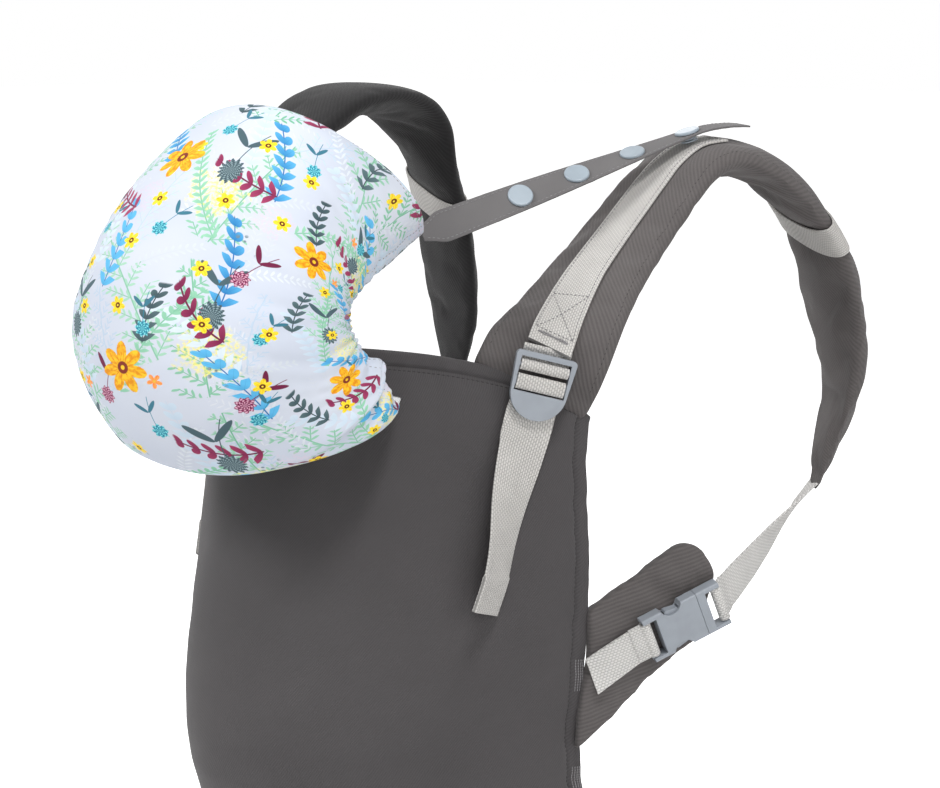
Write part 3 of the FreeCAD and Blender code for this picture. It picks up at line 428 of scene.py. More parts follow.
printMotifs = [
    (frond, {"cell": 112.0, "shift": (20, 64), "seed": 71.0, "length": 96.0, "bend": 0.002, "stem": 0.35,
             "pitch": 13.0, "branch": 30.0, "lean": 0.9, "twig": 4.2, "leaf": (5.0, 1.3),
             "tone": (206, 212, 222), "light": (220, 224, 232), "turn": (0.4, 2.6), "chance": 1.0}),
    (frond, {"cell": 90.0, "shift": (66, 8), "seed": 79.0, "length": 78.0, "bend": 0.003, "stem": 0.5,
             "pitch": 11.0, "branch": 24.0, "lean": 0.8, "twig": 3.8, "leaf": (4.8, 1.4),
             "tone": (188, 206, 224), "light": (206, 222, 238), "turn": (0.8, 2.2), "chance": 0.8}),
    (frond, {"cell": 104.0, "shift": (8, 18), "seed": 83.0, "length": 92.0, "bend": -0.0016, "stem": 0.6,
             "pitch": 14.0, "branch": 30.0, "lean": 0.95, "twig": 4.6, "leaf": (6.0, 1.9),
             "tone": (118, 186, 152), "light": (160, 210, 182), "turn": (0.9, 2.0), "chance": 0.8}),
    (frond, {"cell": 138.0, "shift": (96, 30), "seed": 73.0, "length": 118.0, "bend": -0.0022, "stem": 0.7,
             "pitch": 16.0, "branch": 38.0, "lean": 0.85, "twig": 5.0, "leaf": (6.5, 2.0),
             "tone": (134, 194, 164), "light": (168, 214, 190), "turn": (1.2, 2.4), "chance": 0.95}),
    (wash, {"cell": 118.0, "shift": (15, 40), "seed": 3.0, "radius": 20.0, "tone": (252, 240, 120),
            "weight": 0.75, "chance": 0.6}),
    (wash, {"cell": 96.0, "shift": (60, 10), "seed": 5.0, "radius": 16.0, "tone": (222, 206, 222),
            "weight": 0.5, "chance": 0.5}),
    (sprig, {"cell": 62.0, "shift": (21, 33), "seed": 11.0, "length": 52.0, "bend": 0.004, "stem": 0.35,
             "pitch": 4.2, "leaf": (8.0, 1.9), "lean": 0.85, "tone": (205, 212, 220),
             "light": (222, 228, 236), "turn": (0.2, 2.8)}),
    (sprig, {"cell": 78.0, "shift": (3, 61), "seed": 17.0, "length": 66.0, "bend": -0.003, "stem": 0.4,
             "pitch": 6.5, "leaf": (13.0, 4.6), "lean": 0.8, "tone": (196, 214, 230),
             "light": (220, 232, 242), "turn": (1.0, 2.6), "chance": 0.7}),
    (sprig, {"cell": 104.0, "shift": (44, 12), "seed": 23.0, "length": 88.0, "bend": 0.0025, "stem": 0.6,
             "pitch": 5.2, "leaf": (10.0, 2.9), "lean": 0.8, "tone": (128, 192, 160),
             "light": (158, 212, 182), "turn": (0.6, 2.4), "chance": 0.8}),
    (sprig, {"cell": 88.0, "shift": (70, 30), "seed": 29.0, "length": 62.0, "bend": -0.006, "stem": 0.6,
             "pitch": 9.0, "leaf": (15.0, 5.4), "lean": 0.72, "tone": (22, 108, 176),
             "light": (96, 186, 232), "turn": (1.2, 2.3), "chance": 0.9}),
    (sprig, {"cell": 92.0, "shift": (5, 85), "seed": 31.0, "length": 46.0, "bend": 0.008, "stem": 0.8,
             "pitch": 8.0, "leaf": (12.0, 4.4), "lean": 0.9, "tone": (112, 22, 66), "light": (168, 62, 102),
             "turn": (2.2, 3.4), "chance": 0.6}),
    (sprig, {"cell": 84.0, "shift": (30, 52), "seed": 37.0, "length": 40.0, "bend": 0.006, "stem": 0.6,
             "pitch": 7.0, "leaf": (12.0, 4.0), "lean": 0.8, "tone": (52, 72, 80), "light": (96, 122, 126),
             "turn": (1.0, 2.4), "chance": 0.65}),
    (berries, {"cell": 74.0, "shift": (52, 66), "seed": 41.0, "spread": 11.0, "pitch": 4.6, "dot": 1.6,
               "tone": (112, 132, 140), "chance": 0.45}),
    (pompon, {"cell": 98.0, "shift": (12, 5), "seed": 43.0, "radius": 10.5, "petals": 15.0, "squash": 1.7,
              "stem": 0.5, "reach": 38.0, "leaf": (20.0, 5.0), "tone": (62, 84, 92),
              "light": (138, 160, 166), "green": (72, 96, 104), "turn": (1.2, 1.9), "chance": 0.9}),
    (pompon, {"cell": 86.0, "shift": (66, 44), "seed": 47.0, "radius": 6.6, "petals": 9.0, "squash": 1.0,
              "stem": 0.5, "reach": 30.0, "leaf": (14.0, 4.0), "tone": (122, 26, 74),
              "light": (222, 170, 192), "green": (112, 30, 66), "turn": (0.6, 2.2), "chance": 0.65}),
    (pompon, {"cell": 66.0, "shift": (25, 18), "seed": 53.0, "radius": 5.6, "petals": 8.0, "squash": 1.0,
              "stem": 0.4, "reach": 24.0, "leaf": (10.0, 3.0), "tone": (28, 132, 160),
              "light": (130, 220, 226), "green": (60, 120, 140), "turn": (0.9, 2.2), "chance": 0.6}),
    (daisy, {"cell": 44.0, "shift": (31, 9), "seed": 59.0, "radius": 6.2, "petals": 6.0, "cleft": 0.55,
             "heart": 2.1, "tone": (246, 198, 16), "light": (255, 236, 70), "middle": (104, 36, 16),
             "chance": 0.75}),
    (daisy, {"cell": 58.0, "shift": (9, 47), "seed": 61.0, "radius": 5.0, "petals": 5.0, "cleft": 0.35,
             "heart": 1.2, "tone": (250, 132, 52), "light": (255, 176, 96), "middle": (240, 190, 60),
             "chance": 0.3}),
    (daisy, {"cell": 132.0, "shift": (84, 92), "seed": 67.0, "radius": 17.0, "petals": 7.0, "cleft": 0.5,
             "heart": 4.2, "tone": (232, 146, 16), "light": (255, 204, 44), "middle": (128, 44, 30),
             "chance": 0.8}),
]


paper = {"dark": (203, 210, 224), "light": (214, 219, 230)}


def hoodPrint():
    g = Graph("hood_print")
    u, v = g.uv()
    weave = ((u * 9.0).sin() * (v * 9.0).sin()) * 0.5 + 0.5
    cloud = g.noise(g.point(u * 0.01, v * 0.01), 1.0, 2.0)
    flowered = Print(g, g.mix(linear(*paper["dark"]), linear(*paper["light"]), cloud.ramp(0.3, 0.7)))
    for motif, settings in printMotifs:
        motif(flowered, settings)
    return g.finish(flowered.color, 0.8, g.bump(weave, 0.04 * mm), sheen=0.05, specular=0.25)


def floorMaterial():
    g = Graph("floor")
    rays = g.add("LightPath", {}, {})
    seen = (rays[0] + rays[3] + rays[6]).clamped()
    g.plug(g.shader.inputs["Emission Color"], g.mix((0, 0, 0), (stage["glow"],) * 3, seen))
    g.shader.inputs["Emission Strength"].default_value = 1.0
    g.shader.inputs["Roughness"].default_value = 0.9
    g.shader.inputs["Specular IOR Level"].default_value = 0.1
    g.shader.inputs["Base Color"].default_value = stage["tone"] + (1.0,)
    return g.material


def makeStage():
    low = cadBounds[0][2] - stage["drop"]
    bpy.ops.mesh.primitive_plane_add(size=stage["size"], location=(0, 0, low))
    floor = bpy.context.object
    floor.name = "floor"
    floor.data.materials.append(floorMaterial())
    world = bpy.data.worlds.new("studio")
    bpy.context.scene.world = world
    world.use_nodes = True
    tree = world.node_tree
    shade = tree.nodes["Background"]
    shade.inputs["Color"].default_value = (1, 1, 1, 1)
    rays = tree.nodes.new("ShaderNodeLightPath")
    bright = tree.nodes.new("ShaderNodeMix")
    seen = tree.nodes.new("ShaderNodeMath")
    seen.operation = "MAXIMUM"
    tree.links.new(rays.outputs[0], seen.inputs[0])
    tree.links.new(rays.outputs[3], seen.inputs[1])
    tree.links.new(seen.outputs[0], bright.inputs[0])
    bright.inputs[2].default_value = stage["sky"]
    bright.inputs[3].default_value = stage["skySeen"]
    tree.links.new(bright.outputs[0], shade.inputs["Strength"])
    bpy.context.scene.view_settings.view_transform = "Standard"


def meshOf(names):
    # all the points and edges of some CAD nodes
    points, edges, start = [], [], 0
    for name in names:
        mesh = frame["nodes"][name].data
        co = np.zeros(len(mesh.vertices) * 3)
        mesh.vertices.foreach_get("co", co)
        pairs = np.zeros(len(mesh.edges) * 2, int)
        mesh.edges.foreach_get("vertices", pairs)
        points.append(co.reshape(-1, 3))
        edges.append(pairs.reshape(-1, 2) + start)
        start += len(mesh.vertices)
    return np.vstack(points), np.vstack(edges)


def cut(solid, place, heading, across, reach):
    # one cross-section of a long flat piece: its middle, its two directions and half sizes
    points, edges = solid
    place, heading, across = np.array(place), np.array(heading), np.array(across)
    height = (points - place) @ heading
    a, b = height[edges[:, 0]], height[edges[:, 1]]
    crossed = (a * b) < 0
    if crossed.sum() < 4:
        return None
    a, b, pairs = a[crossed], b[crossed], edges[crossed]
    share = (a / (a - b))[:, None]
    hits = points[pairs[:, 0]] * (1 - share) + points[pairs[:, 1]] * share
    hits = hits[np.linalg.norm(hits - place, axis=1) < reach]
    if len(hits) < 4:
        return None
    middle = hits.mean(0)
    spread = hits - middle
    spread -= np.outer(spread @ heading, heading)
    wide = np.linalg.svd(spread, full_matrices=False)[2][0]
    wide = wide if wide @ across > 0 else -wide
    out = np.cross(wide, heading)
    s, t = spread @ wide, spread @ out
    centre = middle + wide * (s.max() + s.min()) / 2 + out * (t.max() + t.min()) / 2
    return {"place": centre, "across": wide, "out": out, "along": heading, "half": (s.max() - s.min()) / 2,
            "thick": (t.max() - t.min()) / 2}


mostSections = 400


def walk(names, place, heading, across, step, reach):
    # sections one after another until the piece ends
    solid = meshOf(names)
    heading = np.array(Vector(heading).normalized())
    found = []
    place = np.array(place)
    for _ in range(mostSections):
        section = cut(solid, place, heading, across, reach)
        if section is None:
            break
        if found:
            turned = section["place"] - found[-1]["place"]
            turned /= np.linalg.norm(turned)
            heading = turned * 0.5 + heading * 0.5
            heading /= np.linalg.norm(heading)
            better = cut(solid, section["place"], heading, across, reach)
            section = better or section
        section["along"] = heading
        found.append(section)
        across = section["across"]
        place = section["place"] + heading * step
    return found


def measured(sections):
    # adds each section's distance along the piece
    at = 0.0
    for k, section in enumerate(sections):
        if k:
            at += np.linalg.norm(section["place"] - sections[k - 1]["place"])
        section["at"] = at
    return sections


def smoothed(sections, rounds):
    for _ in range(rounds):
        for key in ("place", "across", "out", "half", "thick"):
            row = [section[key] for section in sections]
            for k in range(1, len(row) - 1):
                sections[k][key] = (row[k - 1] + row[k] * 2 + row[k + 1]) / 4
    for section in sections:
        section["across"] = section["across"] / np.linalg.norm(section["across"])
        out = section["out"] - section["across"] * (section["out"] @ section["across"])
        section["out"] = out / np.linalg.norm(out)
    return measured(sections)


def between(sections, at):
    # the section at a distance along the piece
    marks = [section["at"] for section in sections]
    k = int(np.clip(np.searchsorted(marks, at) - 1, 0, len(marks) - 2))
    t = (at - marks[k]) / max(marks[k + 1] - marks[k], 1e-9)
    t = min(max(t, 0.0), 1.0)
    return {key: sections[k][key] * (1 - t) + sections[k + 1][key] * t
            for key in ("place", "across", "out", "half", "thick")}


def gridPiece(name, columns, rows, spotAt):
    # a grid whose every corner is put in place by spotAt, which gives the point and its place on the cloth
    bpy.ops.object.select_all(action="DESELECT")
    bpy.ops.mesh.primitive_grid_add(x_subdivisions=columns, y_subdivisions=rows, size=2)
    piece = bpy.context.object
    piece.name = name
    piece.data.name = name
    spots = [spotAt(i / columns, j / rows) for j in range(rows + 1) for i in range(columns + 1)]
    piece.data.vertices.foreach_set("co", [c for point, _ in spots for c in point])
    layer = piece.data.uv_layers[0]
    layer.name = "cloth"
    for loop in piece.data.loops:
        layer.data[loop.index].uv = spots[loop.vertex_index][1]
    piece.data.update()
    return piece


def selectOnly(piece):
    bpy.ops.object.select_all(action="DESELECT")
    piece.select_set(True)
    bpy.context.view_layer.objects.active = piece


def weld(piece, distance):
    selectOnly(piece)
    bpy.ops.object.mode_set(mode="EDIT")
    bpy.ops.mesh.select_all(action="SELECT")
    bpy.ops.mesh.remove_doubles(threshold=distance)
    bpy.ops.mesh.normals_make_consistent(inside=False)
    bpy.ops.object.mode_set(mode="OBJECT")


def applyModifiers(piece):
    selectOnly(piece)
    for modifier in list(piece.modifiers):
        bpy.ops.object.modifier_apply(modifier=modifier.name)


def subdivide(piece):
    modifier = piece.modifiers.new("Subdivision", "SUBSURF")
    modifier.levels = 1
    modifier.render_levels = 1
    modifier.boundary_smooth = "PRESERVE_CORNERS"
    applyModifiers(piece)


def smoothShade(piece, degrees=50):
    selectOnly(piece)
    bpy.ops.object.shade_smooth_by_angle(angle=math.radians(degrees))


def dress(piece, material, body, nodes=()):
    piece.data.materials.clear()
    piece.data.materials.append(material)
    smoothShade(piece)
    if body:
        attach(piece, body)
    if nodes:
        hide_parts(*nodes)
    return piece


filling = {"frames": 20, "stiffness": 12.0, "quality": 6, "mass": 0.25, "bending": 0.3, "air": 3.0}


def inflate(piece, pressure, cap, shrink):
    # air pressure fills the cloth between its pinned seams; no point moves more than cap
    before = [vertex.co.copy() for vertex in piece.data.vertices]
    modifier = piece.modifiers.new("Cloth", "CLOTH")
    cloth = modifier.settings
    cloth.quality = filling["quality"]
    cloth.mass = filling["mass"]
    cloth.tension_stiffness = filling["stiffness"]
    cloth.compression_stiffness = filling["stiffness"]
    cloth.shear_stiffness = filling["stiffness"] * 0.5
    cloth.bending_stiffness = filling["bending"]
    cloth.use_pressure = True
    cloth.uniform_pressure_force = pressure
    cloth.vertex_group_mass = "seam"
    cloth.shrink_min = shrink
    cloth.effector_weights.gravity = 0.0
    cloth.air_damping = filling["air"]
    modifier.point_cache.frame_start = 1
    modifier.point_cache.frame_end = filling["frames"]
    scene = bpy.context.scene
    for step in range(1, filling["frames"] + 1):
        scene.frame_set(step)
    applyModifiers(piece)
    piece.vertex_groups.clear()
    for vertex, old in zip(piece.data.vertices, before):
        move = vertex.co - old
        if move.length > cap:
            vertex.co = old + move * (cap / move.length)
    scene.frame_set(1)


# pitch, length and radius of the stitches
seams = {"pad": (0.0034, 0.0024, 0.00032), "box": (0.003, 0.0022, 0.0003), "tack": (0.0016, 0.002, 0.00035),
         "panel": (0.0032, 0.0024, 0.0003), "panelTack": (0.0018, 0.0019, 0.0004),
         "hood": (0.0034, 0.0022, 0.00028), "tab": (0.0032, 0.0022, 0.00026),
         "tail": (0.0028, 0.0022, 0.0003)}


def stitches(name, rows, kind, material, body):
    # each row is a list of points with normals; every stitch is a copy of one slim bead
    pitch, length, radius = seams[kind]
    bpy.ops.object.select_all(action="DESELECT")
    bpy.ops.mesh.primitive_uv_sphere_add(segments=6, ring_count=4, radius=1.0)
    bead = bpy.context.object
    shape = [vertex.co.copy() for vertex in bead.data.vertices]
    faces = [tuple(face.vertices) for face in bead.data.polygons]
    points, polygons = [], []
    for row in rows:
        run = 0.0
        nextAt = pitch / 2
        for (a, na), (b, nb) in zip(row, row[1:]):
            gap = (b - a).length
            while gap > 1e-9 and nextAt <= run + gap:
                t = (nextAt - run) / gap
                along = (b - a).normalized()
                up = na.lerp(nb, t).normalized()
                across = along.cross(up).normalized()
                up = across.cross(along)
                place = a.lerp(b, t)
                start = len(points)
                for p in shape:
                    points.append(place + along * (p.x * length / 2) + across * (p.y * radius)
                                  + up * (p.z * radius))
                polygons += [tuple(k + start for k in face) for face in faces]
                nextAt += pitch
            run += gap
    bpy.data.objects.remove(bead)
    mesh = bpy.data.meshes.new(name)
    mesh.from_pydata(points, [], polygons)
    piece = bpy.data.objects.new(name, mesh)
    bpy.context.scene.collection.objects.link(piece)
    return dress(piece, material, body)


ribbon = {"columns": 20, "edge": 0.3, "foldRise": 1.05, "foldRun": 0.0012}


def strip(name, sections, rows, fold=0.0):
    # a length of webbing on the given sections; fold thickens the last stretch
    length = sections[-1]["at"]

    def spotAt(i, j):
        at = length * j
        s = between(sections, at)
        half, thick = s["half"], s["thick"]
        lift = 0.0
        if fold and at > length - fold:
            lift = thick * ribbon["foldRise"] * min((at - length + fold) / ribbon["foldRun"], 1.0)
        turn = 2 * math.pi * i
        c, n = math.cos(turn), math.sin(turn)
        x = half * math.copysign(abs(c) ** ribbon["edge"], c)
        y = thick * math.copysign(abs(n) ** ribbon["edge"], n)
        y += -lift if n < 0 else lift
        place = s["place"] + s["across"] * x + s["out"] * y
        return place, (x + half, at)

    piece = gridPiece(name, ribbon["columns"], rows, spotAt)
    weld(piece, 1e-6)
    closeEnds(piece)
    return piece


def closeEnds(piece):
    selectOnly(piece)
    bpy.ops.object.mode_set(mode="EDIT")
    bpy.ops.mesh.select_mode(type="EDGE")
    bpy.ops.mesh.select_all(action="DESELECT")
    bpy.ops.mesh.select_non_manifold()
    bpy.ops.mesh.fill()
    bpy.ops.mesh.select_all(action="SELECT")
    bpy.ops.mesh.normals_make_consistent(inside=False)
    bpy.ops.mesh.select_mode(type="VERT")
    bpy.ops.object.mode_set(mode="OBJECT")


def copied(node, name):
    # a welded copy of a CAD node, to be finished as a piece of its own
    source = frame["nodes"][node]
    piece = bpy.data.objects.new(name, source.data.copy())
    bpy.context.scene.collection.objects.link(piece)
    piece.data.materials.clear()
    weld(piece, 1e-6)
    return piece


def softenEdges(piece, width, angle):
    bevel = piece.modifiers.new("Bevel", "BEVEL")
    bevel.width = width
    bevel.segments = 2
    bevel.limit_method = "ANGLE"
    bevel.angle_limit = math.radians(angle)
    bevel.use_clamp_overlap = True
    applyModifiers(piece)


def layCloth(piece, across, along):
    # cloth places from two directions
    across, along = Vector(across), Vector(along)
    while piece.data.uv_layers:
        piece.data.uv_layers.remove(piece.data.uv_layers[0])
    layer = piece.data.uv_layers.new(name="cloth")
    for loop in piece.data.loops:
        co = piece.data.vertices[loop.vertex_index].co
        layer.data[loop.index].uv = (co.dot(across), co.dot(along))
    return piece


def ordered(sections, hint, near):
    # directions that agree along the piece; near the given place, out points to the hint's side
    for k, section in enumerate(sections):
        a, b = sections[max(k - 1, 0)], sections[min(k + 1, len(sections) - 1)]
        along = b["place"] - a["place"]
        section["along"] = along / np.linalg.norm(along)
        if k and section["across"] @ sections[k - 1]["across"] < 0:
            section["across"] = -section["across"]
    nearest = min(sections, key=lambda s: np.linalg.norm(s["place"] - np.array(near)))
    side = np.cross(nearest["across"], nearest["along"]) @ np.array(hint)
    for section in sections:
        section["across"] = section["across"] * (1 if side > 0 else -1)
        out = np.cross(section["across"], section["along"])
        section["out"] = out / np.linalg.norm(out)
    return measured(sections)


def shapeTree(thing):
    return BVHTree.FromObject(thing, bpy.context.evaluated_depsgraph_get())


def onto(tree, place, out, reach=0.03):
    # the surface point under a place, looked for from outside
    place, out = Vector(place), Vector(out).normalized()
    hit, normal, _, _ = tree.ray_cast(place + out * reach, -out, reach * 2)
    return (hit, normal) if hit else (place, out)


def smoothStep(low, high, value):
    share = min(max((value - low) / (high - low), 0.0), 1.0)
    return share * share * (3 - 2 * share)


def soft(x, y, z=0.0, size=0.06):
    return noise.noise(Vector((x / size, y / size, z / size)))


cloth = twillMaterial("charcoal_cloth")
padCloth = twillMaterial("charcoal_pad")
# painted shade: the pad twill made darker for the left strap
paintedShadePadCloth = twillMaterial("charcoal_pad_painted_shade")
webbing = webbingMaterial("webbing_grey", (118, 116, 114), (218, 215, 211))
whiteWebbing = webbingMaterial("webbing_pale", (138, 136, 134), (232, 230, 227))
strapCloth = plainCloth("hood_strap_grey", (92, 90, 91), (122, 120, 120), 0.06)
liningCloth = plainCloth("hood_lining_grey", (140, 140, 142), (172, 172, 174), 0.05)
elasticCloth = webbingMaterial("elastic_white", (200, 200, 200), (240, 240, 240), 1.0, 1.6)
buckles = plasticMaterial("buckle_plastic", (150, 156, 164), 0.38, 0.03)
snaps = plasticMaterial("snap_plastic", (156, 168, 178), 0.3, 0.004)
# real stitches, made darker than the thread is as painted shade for the shaded groove beside the hem
threadWithSeamShade = threadMaterial("thread_with_painted_seam_shade", (44, 42, 42))
greyThread = threadMaterial("grey_thread", (150, 148, 150))
paleThread = threadMaterial("pale_thread", (226, 224, 222))
flowers = hoodPrint()


# shoulder straps
pad = {"step": 0.006, "reach": 0.08, "columns": 52, "row": 0.005, "round": 0.010, "start": 0.95,
       "power": 2.4, "ends": (0.94, 0.06), "seamShare": 0.995, "endShare": 0.02,
       "base": 0.013, "sink": 0.005, "tip": 0.006, "squeeze": 0.16, "squeezeRun": 0.017, "pressure": 4.0,
       "cap": {"right": 0.004, "left": 0.0025}, "slack": {"right": -0.02, "left": -0.008},
       "pinned": 0.0175, "bandPinned": 0.0135, "lap": (0.012, 0.002), "crease": 0.0012, "creaseSize": 0.028,
       "fill": 0.75, "webbingTop": {"right": 0.0, "left": 0.085}, "seamEnd": 0.02, "seamAt": 0.86}
padNodes = ("shoulder_cover_", "shoulder_lining_", "shoulder_foam_", "shoulder_end_")
sewing = {"inset": 0.0028, "boxStart": 0.0115, "boxLength": 0.034, "tackAt": 0.0075, "tackDepth": 0.0016,
          "tackWidth": 1.6, "tackCount": 22, "reach": 0.009, "search": 0.03, "narrow": 0.008, "end": 0.004,
          "row": 0.003}


def bandFrame(name):
    joint = joints["band_slide_" + name]
    low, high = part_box("strap_band_" + name)
    place = (low + high) / 2
    across = Vector(joint["axis"]).normalized()
    out = place - Vector(joint["pos_m"])
    out = (out - across * out.dot(across)).normalized()
    return place, across, out


def padSections(name):
    place, across, out = bandFrame(name)
    heading = across.cross(out)
    nodes = [part + name for part in padNodes]
    there = walk(nodes, place, heading, across, pad["step"], pad["reach"])
    back = walk(nodes, place, -heading, across, pad["step"], pad["reach"])
    sections = back[:0:-1] + there
    if sections[0]["place"][1] > sections[-1]["place"][1]:
        sections.reverse()
    sections = smoothed(ordered(sections, out, place), 3)
    base, tip = dict(sections[0]), dict(sections[-1])
    base["place"] = base["place"] - base["along"] * pad["base"] - base["out"] * pad["sink"]
    tip["place"] = tip["place"] + tip["along"] * pad["tip"]
    return measured([base] + sections + [tip])


def webbingSections(name, sections):
    solid = meshOf(["strap_webbing_" + name])
    found = []
    crest = max(sections, key=lambda s: s["place"][2])["at"] - pad["webbingTop"][name]
    for s in sections:
        if s["at"] > crest:
            break
        top = s["place"] + s["out"] * s["thick"]
        section = cut(solid, top, s["along"], s["across"], sewing["search"])
        if section and section["half"] > sewing["narrow"]:
            section["along"], section["at"] = s["along"], 0.0
            section["pad"] = s["at"]
            found.append(section)
    quarter = sections[len(sections) // 4]
    found = smoothed(ordered(found, quarter["out"], quarter["place"]), 1)
    first = dict(found[0])
    first["place"] = first["place"] - first["along"] * sewing["reach"]
    return measured([first] + found)


def bandAt(name, sections):
    place = np.array(bandFrame(name)[0])
    return min(sections, key=lambda s: np.linalg.norm(s["place"] - place))["at"]


def makePad(name, sections, tape):
    length = sections[-1]["at"]
    rows = int(length / pad["row"])
    low, high = tape[0]["pad"] - pad["lap"][0], tape[-1]["pad"] + pad["lap"][1]
    banded = bandAt(name, sections)
    pins = []

    def spotAt(i, j):
        at = length * j
        s = between(sections, at)
        share = 1 - 4 * i if i <= 0.5 else 4 * i - 3
        upper = 1 if i <= 0.5 else -1
        end = min(at, length - at) / pad["round"]
        swell = math.sqrt(max(0.0, 1 - (1 - min(end, 1.0)) ** 2))
        half = s["half"] * (pad["ends"][0] + pad["ends"][1] * swell)
        bulge = max(0.0, 1 - abs(share) ** pad["power"]) ** (1 / pad["power"])
        under = upper > 0 and low < at < high
        crease = soft(at, share * 0.02, upper * 0.5 + length, pad["creaseSize"]) * pad["crease"]
        height = 1.0 if under else pad["start"]
        height *= 1 - pad["squeeze"] * math.exp(-((at - banded) / pad["squeezeRun"]) ** 2)
        y = upper * (s["thick"] * height * swell * bulge + (0.0 if under else crease * bulge))
        x = half * share
        held = abs(share) > pad["seamShare"] or end < pad["endShare"]
        held = held or (under and abs(x) < pad["pinned"]) or abs(at - banded) < pad["bandPinned"]
        pins.append(1.0 if held else 0.0)
        place = s["place"] + s["across"] * x + s["out"] * y
        return place, (x if upper > 0 else -2 * s["half"] - x, at)

    piece = gridPiece("shoulder_pad_" + name, pad["columns"], rows, spotAt)
    group = piece.vertex_groups.new(name="seam")
    group.add([k for k, weight in enumerate(pins) if weight], 1.0, "REPLACE")
    weld(piece, 2e-5)
    inflate(piece, pad["pressure"], pad["cap"][name], pad["slack"][name])
    subdivide(piece)
    # the left strap gets the pad twill with painted shade
    dress(piece, padCloth if name == "right" else paintedShadePadCloth, "carrier",
          [part + name for part in padNodes])
    return piece


def seamRow(sections, tree, start, end, across, count=160):
    # points on the pad's outer face, a share across from its middle
    row = []
    for k in range(count + 1):
        s = between(sections, start + (end - start) * k / count)
        place = s["place"] + s["across"] * (s["half"] * across)
        hit, normal = onto(tree, place, s["out"])
        row.append((hit - normal * 0.0002, normal))
    return row


def stripPoint(tape, at, x, lift=0.0002):
    s = between(tape, at)
    out = Vector(s["out"])
    return Vector(s["place"] + s["across"] * x) + out * (s["thick"] + lift), out


def lineOn(tape, a, b, count=24):
    # a straight line of sewing between two (along, across) places on a webbing
    return [stripPoint(tape, a[0] + (b[0] - a[0]) * k / count, a[1] + (b[1] - a[1]) * k / count)
            for k in range(count + 1)]


def barTack(tape, at, width, depth, count):
    # close zigzag sewing over a small block
    row = []
    for k in range(count * 2 + 1):
        row.append(stripPoint(tape, at + depth * (k % 2), -width / 2 + width * k / (count * 2), 0.0003))
    return row


def makeStrap(name):
    sections = padSections(name)
    tape = webbingSections(name, sections)
    piece = makePad(name, sections, tape)
    tree = shapeTree(piece)
    length = sections[-1]["at"]
    rows = [seamRow(sections, tree, pad["seamEnd"], length - pad["seamEnd"], side * pad["seamAt"])
            for side in (-1, 1)]
    stitches("pad_seams_" + name, rows, "pad", threadWithSeamShade, "carrier")
    webbed = strip("pad_webbing_" + name, tape, int(tape[-1]["at"] / sewing["row"]))
    dress(webbed, webbing, "carrier", ["strap_webbing_" + name])
    half = tape[len(tape) // 2]["half"] - sewing["inset"]
    a, b = sewing["boxStart"], sewing["boxStart"] + sewing["boxLength"]
    ends = [((a, -half), (b, -half)), ((a, half), (b, half)), ((a, -half), (a, half)),
            ((b, -half), (b, half)), ((a, -half), (b, half)), ((a, half), (b, -half))]
    box = [lineOn(tape, start, end) for start, end in ends]
    box += [lineOn(tape, (b, side * half), (tape[-1]["at"] - sewing["end"], side * half), 120)
            for side in (-1, 1)]
    stitches("webbing_sewing_" + name, box, "box", greyThread, "carrier")
    tack = [barTack(tape, sewing["tackAt"], half * sewing["tackWidth"], sewing["tackDepth"],
                    sewing["tackCount"])]
    stitches("bar_tack_" + name, tack, "tack", greyThread, "carrier")
    return sections, tape


straps = {name: makeStrap(name) for name in sides}
print("straps", [len(s) for s, _ in straps.values()], [round(s[-1]["at"], 3) for s, _ in straps.values()])


# panel and belt: padded walls that stand round a middle
def levelSpan(node, z):
    # how far back and forward a wall reaches at a height
    points, edges = meshOf([node])
    a, b = points[edges[:, 0]], points[edges[:, 1]]
    crossed = (a[:, 2] - z) * (b[:, 2] - z) < 0
    a, b = a[crossed], b[crossed]
    share = ((z - a[:, 2]) / (b[:, 2] - a[:, 2]))[:, None]
    hits = a + (b - a) * share
    return hits[:, 1].min(), hits[:, 1].max()


wallRead = {"columns": 120, "levels": 14, "spots": 181, "rise": 0.003, "over": 0.004, "ends": (0.9, 2.9),
            "missed": 0.0048, "reach": 0.6, "skin": 0.0005, "top": (0.004, 0.09)}


